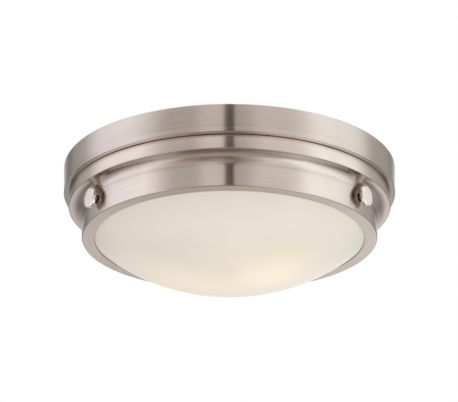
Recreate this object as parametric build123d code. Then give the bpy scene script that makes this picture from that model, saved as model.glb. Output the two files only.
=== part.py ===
from build123d import *
import math
import os

# Flush ceiling light: a spun pan against the ceiling, a stepped ring that hangs from it
# by three thumb screws and carries an opal glass bowl, and two lamps inside.
# Millimetres. The origin is at the centre of the ceiling plane, +Z is up,
# and the photographed side faces -Y.

# Ceiling pan
pan_radius = 167.5
pan_depth = 28.4
pan_wall = 1.0
pan_rim_width = 4.0
pan_rim_bend = 0.2
pan_waist_draw = 0.9
pan_bead_height = 5.0
pan_bead_swell = 0.35
pan_bead_bend = 0.6
pan_waist_bend = 8.0

# Glass ring: lip, band, cove, neck and flange
parting_gap = 0.3
ring_inset = 5.7
ring_wall = 1.0
ring_lip_width = 4.3
ring_bend = 0.15
band_height = 14.55
cove_step = 14.3
cove_radius = 6.5
neck_height = 32.15
neck_flare = 0.2
flange_width = 12.1

# Glass bowl and its gasket
bowl_drop = 46.25
bowl_wall = 3.5
bowl_side_gap = 0.3
bowl_rim_gap = 3.0
bowl_rim_round = 1.2
gasket_thickness = 1.0
gasket_edge = 0.5

# Fitter collar and the rivets that hold it
collar_wall = 1.2
collar_bend = 1.0
collar_flange_width = 16.0
collar_end_gap = 3.25
collar_rivet_count = 6
collar_rivet_inset = 8.8
rivet_radius = 1.5
rivet_head_radius = 3.0
rivet_head_height = 1.3
rivet_tail_radius = 2.4
rivet_tail_height = 0.9
rivet_clearance = 0.05

# Thumb screws, their washers and weld nuts
screw_names = ("rear", "left", "right")
rear_screw_angle = 90
screw_drop = 15.0
screw_radius = 2.5
screw_clearance = 0.05
screw_hole_clearance = 0.4
screw_tip_gap = 0.2
screw_tip_chamfer = 0.7
knob_radius = 10.3
knob_thickness = 4.0
knob_chamfer = 0.8
knob_neck_rise = 0.9
stem_radius = 3.5
stem_length = 3.4
washer_radius = 4.2
washer_thickness = 1.0
washer_neck_gap = 0.15
washer_seat_gap = 0.05
weld_nut_flats = 9.0
weld_nut_height = 5.0
weld_nut_clearance = 1.7

# Lamps, screw-cap type
bulb_radius = 30.0
bulb_wall = 0.9
bulb_reach = 79.7
bulb_neck_radius = 12.5
bulb_neck_start = 4.0
bulb_seat_depth = 9.0
cap_radius = 13.05
cap_wall = 0.4
cap_stand_out = 3.0
cap_insert = 20.5
insulator_radius = 9.0
insulator_height = 2.5
tip_radius = 4.6
tip_height = 1.3
lamp_head_room = 5.6
lamp_gap = 9.0
lamp_set_back = 3.0

# Lamp holders
holder_wall = 5.1
holder_length = 36.0
holder_taper = 1.6
holder_rim_length = 9.0
holder_edge = 1.2
shell_wall = 0.45
shell_clearance = 0.3
shell_seat_gap = 0.1
shell_recess = 3.0
shell_bore = 8.0
contact_width = 7.0
contact_span = 11.0
contact_thickness = 0.5
contact_gap = 0.2
contact_rise = 2.3

# Lamp brackets
bracket_thickness = 1.5
bracket_width = 13.0
bracket_bend = 1.5
bracket_foot = 24.0
bracket_tail = 10.0
bracket_rivet_places = (8.5, 18.0)
holder_screw_radius = 2.0
holder_screw_depth = 6.0
holder_screw_clearance = 0.05
holder_screw_head_radius = 3.8
holder_screw_head_height = 2.3
holder_screw_head_chamfer = 1.0

# Ceiling mounting
strap_width = 22.0
strap_thickness = 1.6
strap_corner = 4.0
strap_end = 9.0
box_screw_spacing = 88.9
box_slot_length = 12.0
box_slot_width = 4.8
strap_wire_hole_radius = 6.5
mounting_screw_gap = 6.55
mounting_screw_radius = 2.08
mounting_screw_clearance = 0.05
mounting_hole_clearance = 0.5
mounting_screw_head_radius = 4.4
mounting_screw_head_height = 2.8
mounting_screw_head_chamfer = 1.3
ground_screw_offset = 24.0
ground_screw_radius = 2.08
ground_screw_length = 8.0
ground_screw_head_flats = 7.9
ground_screw_head_height = 2.6

# Wiring and insulation in the recess
bushing_radius = 8.0
bushing_bore = 6.0
bushing_flange_radius = 11.0
bushing_flange_thickness = 1.5
bushing_barb_height = 2.4
bushing_barb = 0.5
bushing_clearance = 0.1
lead_diameter = 2.4
lead_gap = 0.2
lead_pair_spacing = 4.4
lead_spread = 10.0
lead_bend_share = 0.45
inner_lead_drop = 16.0
outer_lead_drop = 11.0
connector_offset = 16.0
connector_length = 21.0
connector_mouth_radius = 5.6
connector_end_radius = 3.6
connector_bore_clearance = 0.25
connector_grip = 11.0
connector_drop = 13.0
pad_thickness = 14.0
pad_edge_round = 5.0
pad_clearance = 0.2
pad_rivet_gap = 6.6

# Places worked out from the driving dimensions
pan_floor_z = -pan_depth
pan_floor_top_z = pan_floor_z + pan_wall
ring_top_z = pan_floor_z - parting_gap
ring_radius = pan_radius - ring_inset
band_end_z = ring_top_z - band_height
neck_radius = ring_radius - cove_step
flange_z = band_end_z - neck_height
flange_top_z = flange_z + ring_wall
flange_bore = neck_radius - flange_width
bowl_seat_z = flange_top_z + gasket_thickness
bowl_rim_top_z = bowl_seat_z + bowl_wall
bowl_rim_radius = neck_radius - ring_wall - bowl_rim_gap
bowl_apex_z = flange_z - bowl_drop
bowl_height = flange_top_z - bowl_apex_z
bowl_sphere = ((flange_bore - bowl_side_gap) ** 2 + bowl_height**2) / (2 * bowl_height)
bowl_centre_z = bowl_apex_z + bowl_sphere
bowl_foot_radius = math.sqrt(bowl_sphere**2 - (bowl_centre_z - bowl_seat_z) ** 2)
collar_radius = neck_radius - ring_wall - weld_nut_height - weld_nut_clearance
collar_end_z = bowl_rim_top_z + collar_end_gap
collar_rivet_circle = collar_radius - collar_rivet_inset
screw_z = band_end_z - screw_drop
screw_step = 360 / len(screw_names)
screw_angle = {name: rear_screw_angle + turn * screw_step for turn, name in enumerate(screw_names)}
neck_at_screw = neck_radius + neck_flare * screw_drop / neck_height
weld_nut_corner = weld_nut_flats / 2 / math.cos(math.radians(30))
weld_nut_seat = math.sqrt((neck_radius - ring_wall) ** 2 - weld_nut_corner**2)
washer_seat = neck_at_screw + washer_neck_gap
stem_start = washer_seat + washer_thickness + washer_seat_gap
shell_radius = cap_radius + shell_clearance + shell_wall
holder_bore = shell_radius + shell_seat_gap
holder_radius = holder_bore + holder_wall
lamp_tip = -(cap_insert + insulator_height + tip_height)
holder_floor = lamp_tip - contact_gap - contact_rise
lamp_z = pan_floor_z - lamp_head_room - bulb_radius
lamp_side = (bulb_radius + holder_radius + lamp_gap) / 2
lamp_place = Pos(-lamp_set_back, -lamp_side, lamp_z)
lamp_turn = {"right": Rot(0, 0, 0), "left": Rot(0, 0, 180)}
lead_side = (lead_diameter + lead_gap) / 2
mounting_screw_spacing = box_screw_spacing + box_slot_length + 2 * mounting_screw_gap
strap_length = mounting_screw_spacing + 2 * strap_end
bracket_rivet_circle = math.hypot(lamp_set_back + holder_length + max(bracket_rivet_places), lamp_side)
pad_inner_radius = bracket_rivet_circle + rivet_tail_radius + pad_rivet_gap
pad_outer_radius = collar_rivet_circle - rivet_tail_radius - pad_rivet_gap


# Ways of making a shape


def bent_section(points, bends, wall, side):
    """Section of bent sheet: a path with rounded corners, given a wall on one side."""
    path = FilletPolyline(*points, radius=bends)
    return make_face(path.offset_2d(wall, side=side))


def spun(section):
    """Spin a section drawn as (radius, height) round the vertical axis."""
    return revolve(Plane.XZ * section, Axis.Z)


def turned(*outline):
    """Turn an outline drawn as (distance along X, radius) round the X axis."""
    return revolve(make_face(Polyline(*outline, close=True)), Axis.X)


def upright(*outline):
    """Turn an outline drawn as (radius, height) round the vertical axis."""
    return spun(make_face(Polyline(*outline, close=True)))


def dome_line(apex, foot):
    """Half section of a round dome, from its apex on the vertical axis to its foot."""
    radius, rise = foot[0], foot[1] - apex[1]
    sphere = (radius**2 + rise**2) / (2 * rise)
    half_turn = math.asin(radius / sphere) / 2
    middle = (sphere * math.sin(half_turn), apex[1] + sphere * (1 - math.cos(half_turn)))
    return ThreePointArc(apex, middle, foot)


def rod(radius, x, y, low, high):
    """Upright cylinder between two heights."""
    return Pos(x, y, (low + high) / 2) * Cylinder(radius, high - low)


def around(count, circle):
    """Places evenly spaced on a circle, as (x, y)."""
    steps = [math.tau * step / count for step in range(count)]
    return [(circle * math.cos(step), circle * math.sin(step)) for step in steps]


def rivet(x, y, grip):
    """Domed rivet through the pan floor and a sheet of the given thickness under it."""
    low = pan_floor_z - grip
    head = low - rivet_head_height
    dome = dome_line((0, head), (rivet_head_radius, low))
    rest = Polyline(
        (rivet_head_radius, low),
        (rivet_radius, low),
        (rivet_radius, pan_floor_top_z),
        (rivet_tail_radius, pan_floor_top_z),
        (rivet_radius, pan_floor_top_z + rivet_tail_height),
        (0, pan_floor_top_z + rivet_tail_height),
        (0, head),
    )
    return Pos(x, y, 0) * spun(make_face([dome, rest]))


# Places of the rivets and of the pan's holes

collar_rivet_places = around(collar_rivet_count, collar_rivet_circle)
holder_back_x = -lamp_set_back - holder_length
bracket_rivet_points = []
for turn in lamp_turn.values():
    for reach in bracket_rivet_places:
        place = turn * Pos(holder_back_x - reach, -lamp_side, 0)
        bracket_rivet_points.append((place.position.X, place.position.Y))
mounting_points = [(0, mounting_screw_spacing / 2), (0, -mounting_screw_spacing / 2)]
rivet_hole = rivet_radius + rivet_clearance


# Ceiling pan and fitter collar


def make_ceiling_pan():
    """Spun dish open towards the ceiling, with a turned-in rim and a bead round its foot."""
    waist = pan_radius - pan_waist_draw
    section = bent_section(
        [
            (pan_radius - pan_rim_width, 0),
            (pan_radius, 0),
            (waist, pan_floor_z + pan_bead_height),
            (waist + pan_bead_swell, pan_floor_z),
            (bushing_radius + bushing_clearance, pan_floor_z),
        ],
        [pan_wall + pan_rim_bend, pan_waist_bend, pan_wall + pan_bead_bend],
        pan_wall,
        Side.RIGHT,
    )
    pan = spun(section)
    for x, y in collar_rivet_places + bracket_rivet_points:
        pan -= rod(rivet_hole, x, y, pan_floor_z - pan_wall, pan_floor_top_z + pan_wall)
    for x, y in mounting_points:
        hole = mounting_screw_radius + mounting_hole_clearance
        pan -= rod(hole, x, y, pan_floor_z - pan_wall, pan_floor_top_z + pan_wall)
    return pan


def make_fitter_collar():
    """Plain cylinder under the pan that the thumb screws clamp, with a flange to rivet on."""
    section = bent_section(
        [
            (collar_radius - collar_flange_width, pan_floor_z),
            (collar_radius, pan_floor_z),
            (collar_radius, collar_end_z),
        ],
        [collar_wall + collar_bend],
        collar_wall,
        Side.RIGHT,
    )
    collar = spun(section)
    for x, y in collar_rivet_places:
        collar -= rod(rivet_hole, x, y, pan_floor_z - 2 * collar_wall, pan_floor_top_z)
    return collar


# Glass ring, gasket and bowl


def make_glass_ring():
    """Spun ring: return lip, band, hollow cove, neck and the flange under the glass."""
    section = bent_section(
        [
            (ring_radius - ring_lip_width, ring_top_z),
            (ring_radius, ring_top_z),
            (ring_radius, band_end_z),
            (neck_radius, band_end_z),
            (neck_radius + neck_flare, flange_z),
            (flange_bore, flange_z),
        ],
        [ring_wall + ring_bend, ring_wall + ring_bend, cove_radius, ring_wall + ring_bend],
        ring_wall,
        Side.RIGHT,
    )
    ring = spun(section)
    for angle in screw_angle.values():
        hole = Pos(neck_radius, 0, screw_z) * Rot(0, 90, 0)
        hole *= Cylinder(screw_radius + screw_hole_clearance, 4 * (ring_wall + neck_flare))
        ring -= Rot(0, 0, angle) * hole
    return ring


def make_gasket():
    """Flat ring between the flange and the rim of the glass."""
    inner, outer = bowl_foot_radius + gasket_edge, bowl_rim_radius - gasket_edge
    return upright(
        (inner, flange_top_z), (outer, flange_top_z), (outer, bowl_seat_z), (inner, bowl_seat_z)
    )


def make_glass_bowl():
    """Shallow dome of even wall with a flat rim that lies on the gasket."""
    inner_sphere = bowl_sphere - bowl_wall
    inner_apex_z = bowl_apex_z + bowl_wall
    foot = (bowl_foot_radius, bowl_seat_z)
    top_radius = math.sqrt(inner_sphere**2 - (bowl_centre_z - bowl_rim_top_z) ** 2)
    top = (top_radius, bowl_rim_top_z)
    rim = FilletPolyline(
        foot,
        (bowl_rim_radius, bowl_seat_z),
        (bowl_rim_radius, bowl_rim_top_z),
        top,
        radius=[bowl_rim_round, bowl_rim_round],
    )
    outer = dome_line((0, bowl_apex_z), foot)
    inner = dome_line((0, inner_apex_z), top)
    axis_line = Line((0, inner_apex_z), (0, bowl_apex_z))
    return spun(make_face([outer, rim, inner, axis_line]))


# Thumb screws, made along +X and turned to their places


def make_thumb_screw():
    """Screw with a flat round head on a stem, bearing on the collar with its tip."""
    tip = collar_radius + screw_tip_gap
    back = stem_start + stem_length
    face = back + knob_thickness
    return turned(
        (tip, 0),
        (tip, screw_radius - screw_tip_chamfer),
        (tip + screw_tip_chamfer, screw_radius),
        (stem_start, screw_radius),
        (stem_start, stem_radius),
        (back, stem_radius),
        (back, knob_radius - knob_neck_rise),
        (back + knob_neck_rise, knob_radius),
        (face - knob_chamfer, knob_radius),
        (face, knob_radius - knob_chamfer),
        (face, 0),
    )


def make_screw_washer():
    """Flat washer between the ring's neck and the stem."""
    bore = screw_radius + screw_clearance
    end = washer_seat + washer_thickness
    return turned((washer_seat, bore), (washer_seat, washer_radius), (end, washer_radius), (end, bore))


def make_weld_nut():
    """Hexagon nut fixed inside the ring's neck."""
    section = RegularPolygon(weld_nut_corner, 6) - Circle(screw_radius + screw_clearance)
    start = Plane((weld_nut_seat - weld_nut_height, 0, 0), x_dir=(0, 0, 1), z_dir=(1, 0, 0))
    return extrude(start * section, weld_nut_height)


def at_screw(piece, angle):
    """Put a piece made along +X on the axis of a thumb screw."""
    return Rot(0, 0, angle) * Pos(0, 0, screw_z) * piece


# Lamps, made along +X with the holder's mouth at the origin


def make_bulb_glass():
    """Round-ended bulb blown from a narrow neck, open at the neck."""
    centre = bulb_reach - bulb_radius
    run = centre - bulb_neck_start
    step = bulb_radius - bulb_neck_radius
    flare = (run**2 / step - bulb_radius - bulb_neck_radius) / 2
    lift = bulb_neck_radius + flare
    share = bulb_radius / (bulb_radius + flare)
    join = (centre - run * share, lift * share)
    flare_turn = math.atan2(run, lift) / 2
    flare_middle = (
        bulb_neck_start + flare * math.sin(flare_turn),
        lift - flare * math.cos(flare_turn),
    )
    globe_turn = (math.pi - math.atan2(join[1], centre - join[0])) / 2
    globe_middle = (
        centre + bulb_radius * math.cos(globe_turn),
        bulb_radius * math.sin(globe_turn),
    )
    path = Wire(
        [
            Line((bulb_neck_start - bulb_seat_depth, bulb_neck_radius), (bulb_neck_start, bulb_neck_radius)),
            ThreePointArc((bulb_neck_start, bulb_neck_radius), flare_middle, join),
            ThreePointArc(join, globe_middle, (bulb_reach, 0)),
        ]
    )
    return revolve(make_face(path.offset_2d(bulb_wall, side=Side.RIGHT)), Axis.X)


def make_bulb_cap():
    """Metal cap of the lamp, closed towards the insulator."""
    start = -cap_insert
    return turned(
        (start, tip_radius),
        (start, insulator_radius),
        (start + cap_radius - insulator_radius, cap_radius),
        (cap_stand_out, cap_radius),
        (cap_stand_out, cap_radius - cap_wall),
        (start + cap_radius - insulator_radius + cap_wall, cap_radius - cap_wall),
        (start + 2 * cap_wall, insulator_radius - cap_wall),
        (start + 2 * cap_wall, tip_radius),
    )


def make_bulb_insulator():
    """Black button between the cap and the tip contact."""
    start = -cap_insert - insulator_height
    return turned((start, 0), (start, tip_radius), (-cap_insert, insulator_radius), (-cap_insert, 0))


def make_bulb_tip():
    """Rounded contact at the end of the lamp."""
    start = -cap_insert - insulator_height
    dome = dome_line((0, lamp_tip), (tip_radius, start))
    button = spun(make_face([dome, Polyline((tip_radius, start), (0, start), (0, lamp_tip))]))
    return Rot(0, 90, 0) * button


# Lamp holders and brackets, in the same frame as the lamp


def make_lamp_holder():
    """Porcelain holder with a thick mouth rim, a tapered body and a closed back."""
    back = -holder_length
    hole = holder_screw_radius + holder_screw_clearance
    return turned(
        (back, hole),
        (back, holder_radius - holder_taper - holder_edge),
        (back + holder_edge, holder_radius - holder_taper),
        (-holder_rim_length - holder_taper, holder_radius - holder_taper),
        (-holder_rim_length, holder_radius),
        (-holder_edge, holder_radius),
        (0, holder_radius - holder_edge),
        (0, holder_bore + holder_edge),
        (-holder_edge, holder_bore),
        (holder_floor, holder_bore),
        (holder_floor, 0),
        (back + holder_screw_depth, 0),
        (back + holder_screw_depth, hole),
    )


def make_screw_shell():
    """Contact shell that the lamp cap screws into, with a floor round the centre contact."""
    inner = shell_radius - shell_wall
    return turned(
        (holder_floor, shell_bore),
        (holder_floor, shell_radius),
        (-shell_recess, shell_radius),
        (-shell_recess, inner),
        (holder_floor + shell_wall, inner),
        (holder_floor + shell_wall, shell_bore),
    )


def make_centre_contact():
    """Bowed spring strip on the holder's floor, under the lamp's tip."""
    half = contact_span / 2
    foot, top = holder_floor + contact_thickness, holder_floor + contact_rise
    bow = ThreePointArc((foot, -half), (top, 0), (foot, half))
    section = make_face(bow.offset_2d(contact_thickness, side=Side.LEFT))
    return extrude(section, contact_width / 2, both=True)


def make_lamp_bracket():
    """Bent strip: a foot riveted under the pan and a leg across the holder's back."""
    back = -holder_length
    floor = pan_floor_z - lamp_z
    section = bent_section(
        [(back, -bracket_tail), (back, floor), (back - bracket_foot, floor)],
        [bracket_thickness + bracket_bend],
        bracket_thickness,
        Side.LEFT,
    )
    bracket = extrude(Plane.XZ * section, bracket_width / 2, both=True)
    for reach in bracket_rivet_places:
        bracket -= rod(rivet_hole, back - reach, 0, floor - 2 * bracket_thickness, floor)
    hole = Cylinder(holder_screw_radius + holder_screw_clearance, 4 * bracket_thickness)
    return bracket - Pos(back, 0, 0) * Rot(0, 90, 0) * hole


def make_holder_screw():
    """Screw through the bracket's leg into the holder's back."""
    leg = -holder_length - bracket_thickness
    head = leg - holder_screw_head_height
    end = -holder_length + holder_screw_depth - holder_screw_clearance
    return turned(
        (head, 0),
        (head, holder_screw_head_radius - holder_screw_head_chamfer),
        (head + holder_screw_head_chamfer, holder_screw_head_radius),
        (leg, holder_screw_head_radius),
        (leg, holder_screw_radius),
        (end, holder_screw_radius),
        (end, 0),
    )


# Wiring


def route_lead(points):
    """Round lead along a route whose corners are as wide as its runs allow."""
    bends = []
    for before, corner, after in zip(points, points[1:], points[2:]):
        first, second = Vector(corner) - Vector(before), Vector(after) - Vector(corner)
        half_turn = math.radians(first.get_angle(second)) / 2
        bends.append(lead_bend_share * min(first.length, second.length) / math.tan(half_turn))
    print("lead bend radii", [round(bend, 1) for bend in bends])
    path = FilletPolyline(*points, radius=bends)
    return sweep(Plane(path @ 0, z_dir=path % 0) * Circle(lead_diameter / 2), path)


def lead_points(exit_side, pair_side, entry_drop):
    """Route of one lead of the right lamp: holder back, wire bushing, connector."""
    exit_y = -lamp_side + exit_side * lead_spread
    riser_x = pair_side * lead_pair_spacing / 2
    entry_z = pan_floor_z - bushing_flange_thickness - entry_drop
    return [
        (holder_back_x, exit_y, lamp_z),
        (holder_back_x - 14, exit_y, lamp_z),
        (holder_back_x - 16, exit_y + 6, lamp_z + 14),
        (holder_back_x - 4, -lead_side - 7, entry_z - 3),
        (riser_x - 16, -lead_side - 1, entry_z),
        (riser_x, -lead_side, entry_z + 4),
        (riser_x, -lead_side, pan_floor_top_z + 4),
        (riser_x + pair_side * 5, -lead_side, -connector_drop),
        (pair_side * (connector_offset + connector_grip), -lead_side, -connector_drop),
    ]


def make_wire_bushing():
    """Snap-in bushing: flange under the pan floor, barb above it."""
    top = pan_floor_top_z + bushing_barb_height
    flange = pan_floor_z - bushing_flange_thickness
    return upright(
        (bushing_bore, flange),
        (bushing_flange_radius, flange),
        (bushing_flange_radius, pan_floor_z),
        (bushing_radius, pan_floor_z),
        (bushing_radius, pan_floor_top_z),
        (bushing_radius + bushing_barb, pan_floor_top_z),
        (bushing_radius - bushing_barb, top),
        (bushing_bore, top),
    )


def make_wire_connector():
    """Twist-on connector, a tapered cap with a bore for two leads side by side."""
    mouth, end = connector_offset, connector_offset + connector_length
    bore = lead_side + lead_diameter / 2 + connector_bore_clearance
    depth = mouth + connector_grip + connector_bore_clearance
    cap = turned(
        (mouth, bore),
        (mouth, connector_mouth_radius),
        (end, connector_end_radius),
        (end, 0),
        (depth, 0),
        (depth, bore),
    )
    return Pos(0, 0, -connector_drop) * cap


# Ceiling mounting and insulation


def make_mounting_strap():
    """Flat strap against the outlet box, slotted for the box screws."""
    plate = RectangleRounded(strap_width, strap_length, strap_corner)
    plate -= Circle(strap_wire_hole_radius)
    slot = SlotOverall(box_slot_length, box_slot_width, rotation=90)
    for side in (1, -1):
        plate -= Pos(0, side * box_screw_spacing / 2) * slot
    for x, y in mounting_points:
        plate -= Pos(x, y) * Circle(mounting_screw_radius + mounting_screw_clearance)
    plate -= Pos(0, ground_screw_offset) * Circle(ground_screw_radius + mounting_screw_clearance)
    return extrude(plate, -strap_thickness)


def make_mounting_screw(x, y):
    """Long screw from under the pan floor up into the strap."""
    head = pan_floor_z - mounting_screw_head_height
    screw = upright(
        (0, head),
        (mounting_screw_head_radius - mounting_screw_head_chamfer, head),
        (mounting_screw_head_radius, head + mounting_screw_head_chamfer),
        (mounting_screw_head_radius, pan_floor_z),
        (mounting_screw_radius, pan_floor_z),
        (mounting_screw_radius, 0),
        (0, 0),
    )
    return Pos(x, y, 0) * screw


def make_ground_screw():
    """Hexagon-headed screw under the strap."""
    head_corner = ground_screw_head_flats / 2 / math.cos(math.radians(30))
    head = extrude(RegularPolygon(head_corner, 6), -ground_screw_head_height)
    shank = rod(ground_screw_radius, 0, 0, strap_thickness - ground_screw_length, strap_thickness)
    return Pos(0, ground_screw_offset, -strap_thickness) * (head + shank)


def make_insulation_pad():
    """Soft ring of insulation lying on the pan floor."""
    low = pan_floor_top_z + pad_clearance
    width = pad_outer_radius - pad_inner_radius
    section = RectangleRounded(width, pad_thickness, pad_edge_round)
    return spun(Pos(pad_inner_radius + width / 2, low + pad_thickness / 2) * section)


# All pieces, each under its own name

pieces = {
    "ceiling_pan": make_ceiling_pan(),
    "fitter_collar": make_fitter_collar(),
    "collar_rivets": Compound([rivet(x, y, collar_wall) for x, y in collar_rivet_places]),
    "bracket_rivets": Compound([rivet(x, y, bracket_thickness) for x, y in bracket_rivet_points]),
    "insulation_pad": make_insulation_pad(),
    "wire_bushing": make_wire_bushing(),
    "mounting_strap": make_mounting_strap(),
    "mounting_screws": Compound([make_mounting_screw(x, y) for x, y in mounting_points]),
    "ground_screw": make_ground_screw(),
    "glass_ring": make_glass_ring(),
    "glass_gasket": make_gasket(),
    "glass_bowl": make_glass_bowl(),
}
pieces["weld_nuts"] = Compound([at_screw(make_weld_nut(), angle) for angle in screw_angle.values()])
for side, angle in screw_angle.items():
    pieces[f"thumb_screw_{side}"] = at_screw(make_thumb_screw(), angle)
    pieces[f"screw_washer_{side}"] = at_screw(make_screw_washer(), angle)
for side, turn in lamp_turn.items():
    place = turn * lamp_place
    pieces[f"lamp_bracket_{side}"] = place * make_lamp_bracket()
    pieces[f"lamp_holder_{side}"] = place * make_lamp_holder()
    pieces[f"screw_shell_{side}"] = place * make_screw_shell()
    pieces[f"centre_contact_{side}"] = place * make_centre_contact()
    pieces[f"bulb_glass_{side}"] = place * make_bulb_glass()
    pieces[f"bulb_cap_{side}"] = place * make_bulb_cap()
    pieces[f"bulb_insulator_{side}"] = place * make_bulb_insulator()
    pieces[f"bulb_tip_{side}"] = place * make_bulb_tip()
holder_screws = [turn * lamp_place * make_holder_screw() for turn in lamp_turn.values()]
pieces["holder_screws"] = Compound(holder_screws)

# The left lamp's leads are the right lamp's turned half round, so each connector joins one of each
inner_lead = route_lead(lead_points(1, 1, inner_lead_drop))
outer_lead = route_lead(lead_points(-1, -1, outer_lead_drop))
pieces["lead_live_right"] = lamp_turn["right"] * inner_lead
pieces["lead_neutral_right"] = lamp_turn["right"] * outer_lead
pieces["lead_neutral_left"] = lamp_turn["left"] * inner_lead
pieces["lead_live_left"] = lamp_turn["left"] * outer_lead
pieces["wire_connectors"] = Compound([turn * make_wire_connector() for turn in lamp_turn.values()])

os.makedirs("parts", exist_ok=True)
for name, piece in pieces.items():
    export_step(piece, f"parts/{name}.step")
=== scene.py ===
import math
from functools import cache

import bmesh
import bpy
from mathutils import Matrix, Vector, noise


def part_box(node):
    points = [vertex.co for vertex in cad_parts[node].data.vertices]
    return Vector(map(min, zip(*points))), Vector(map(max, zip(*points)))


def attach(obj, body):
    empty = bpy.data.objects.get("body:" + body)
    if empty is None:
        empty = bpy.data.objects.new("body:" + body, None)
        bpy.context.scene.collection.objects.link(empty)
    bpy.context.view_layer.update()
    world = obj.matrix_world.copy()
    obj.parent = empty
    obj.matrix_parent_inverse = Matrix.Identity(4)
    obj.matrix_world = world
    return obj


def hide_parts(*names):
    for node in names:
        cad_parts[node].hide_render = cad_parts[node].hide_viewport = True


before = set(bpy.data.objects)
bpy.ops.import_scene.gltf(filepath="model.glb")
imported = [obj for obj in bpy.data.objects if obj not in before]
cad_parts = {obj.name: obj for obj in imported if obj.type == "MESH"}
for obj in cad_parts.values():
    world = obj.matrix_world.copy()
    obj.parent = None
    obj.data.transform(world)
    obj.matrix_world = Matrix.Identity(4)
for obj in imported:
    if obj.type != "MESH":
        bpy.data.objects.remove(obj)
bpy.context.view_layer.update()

bl_info = {
    "name": "Flush Ceiling Light",
    "version": (1, 0, 0),
    "blender": (4, 5, 0),
    "location": "View3D > Sidebar > Ceiling Light",
    "description": "Models and finishes the pieces of a round flush ceiling light with an opal glass bowl",
    "category": "Add Mesh",
}

# Lengths are in metres. The ceiling is the plane z = 0 and the photographed side faces -Y.
MM = 0.001
MERGE = 1e-7
COLLAR_RIVETS = 6
AXIS_X, AXIS_Z = Vector((1, 0, 0)), Vector((0, 0, 1))
STAND_UP = Matrix.Rotation(-math.pi / 2, 4, "Y")
LIE_DOWN = Matrix.Rotation(math.pi / 2, 4, "Y")

# How finely round forms are divided
RING_STEPS = 192
SMALL_STEPS = 64
TINY_STEPS = 32
BOWL_STEPS = 36
CONNECTOR_STEPS = 48
BORE_STEPS = 24
DOME_STEPS = 8
CONTACT_STEPS = 16
FLARE_STEPS = 16
GLOBE_STEPS = 32
THUMB_THREAD_STEPS = 24
CAP_THREAD_STEPS = 40
MOUNTING_THREAD_STEPS = 16
ROUND_SEGMENTS = 5
RING_SEGMENTS = 8
RIVET_SEGMENTS = 3
EDGE_SEGMENTS = 2
PAD_CUTS = 14

# Angles of the edges that are shaded sharp or broken, and parts of a normal that tell where a face looks
SHARP_ANGLE = math.radians(32)
BROKEN_ANGLE = math.radians(50)
LOOKS_UP = 0.5
LOOKS_IN = 0.3
LOOKS_DOWN = 0.9
LOOKS_ALONG = 0.98
LOOKS_ASIDE = 0.9

# Places of a piece's second and third material
SECOND, THIRD = 1, 2

# Where most of a noise lies, and how much finer the pits or the skin of a finish are than its patches
NOISE_MIDDLE = (0.3, 0.7)
PIT_FINENESS, SKIN_FINENESS = 12, 14

# Waves on the insulation: how close the broad and the fine ones are, and their shares of its depth
BROAD_WAVES, FINE_WAVES, FINE_SHIFT = 38, 170, Vector((3, 5, 7))
EVEN_SHARE, BROAD_SHARE, FINE_SHARE = 0.5, 0.6, 0.3

# A fade is a level at its start and at its end, and where they are. Those of the pan's foot run along Y:
# painted light on its front and painted shade towards its sides and back.
# Painted shade: the pan's wall is a darker copy of the ring's nickel
PAN_PAINTED_SHADE = 0.86
FOOT_PAINTED_LIGHT_AND_SHADE = ((1.45, 1.12, -0.162, -0.128), (1.0, 0.5, -0.068, -0.052))

# Painted lamp glow in the finish of the bowl: place, reach and share of each soft spot, and their height in
# it
PAINTED_GLOW_SPOTS = (((0.046, -0.025), 0.066, 1.0), ((-0.049, 0.025), 0.1, 0.75), ((0.015, 0.0), 0.19, 0.8))
PAINTED_GLOW_RISE = 0.006
# Painted shade: the bowl turns darker and warmer towards its rim, under the ring
OPAL_RIM_PAINTED_SHADE = (0.0, 1.0, 0.105, 0.134)

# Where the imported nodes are
PAN_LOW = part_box("ceiling_pan")[0]
COLLAR_LOW, COLLAR_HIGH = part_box("fitter_collar")
RING_LOW, RING_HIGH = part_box("glass_ring")
GASKET_LOW, GASKET_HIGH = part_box("glass_gasket")
BOWL_LOW, BOWL_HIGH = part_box("glass_bowl")
SCREW_LOW, SCREW_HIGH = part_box("thumb_screw_rear")
WASHER_LOW, WASHER_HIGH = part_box("screw_washer_rear")
BULB_LOW, BULB_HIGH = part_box("bulb_glass_right")
CAP_LOW, CAP_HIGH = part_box("bulb_cap_right")
TIP_LOW, TIP_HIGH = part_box("bulb_tip_right")
HOLDER_LOW, HOLDER_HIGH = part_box("lamp_holder_right")
SHELL_LOW, SHELL_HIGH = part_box("screw_shell_right")
CONTACT_LOW, CONTACT_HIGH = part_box("centre_contact_right")
BRACKET_LOW, BRACKET_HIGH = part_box("lamp_bracket_right")
BUSHING_LOW, BUSHING_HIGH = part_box("wire_bushing")
CONNECTOR_LOW, CONNECTOR_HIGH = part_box("wire_connectors")
MOUNTING_LOW, MOUNTING_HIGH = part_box("mounting_screws")
GROUND_LOW, GROUND_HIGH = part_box("ground_screw")
PAD_LOW, PAD_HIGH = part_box("insulation_pad")

# Angles of the thumb screws from +X in degrees, and turns of the lamps from the right one in radians
SCREW_ANGLES = {"rear": 90, "left": 210, "right": 330}
LAMP_TURNS = {"right": 0.0, "left": math.pi}
LAMP_AXIS = (BULB_LOW + BULB_HIGH) / 2
LAMP_MOUTH = HOLDER_HIGH.x

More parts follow.
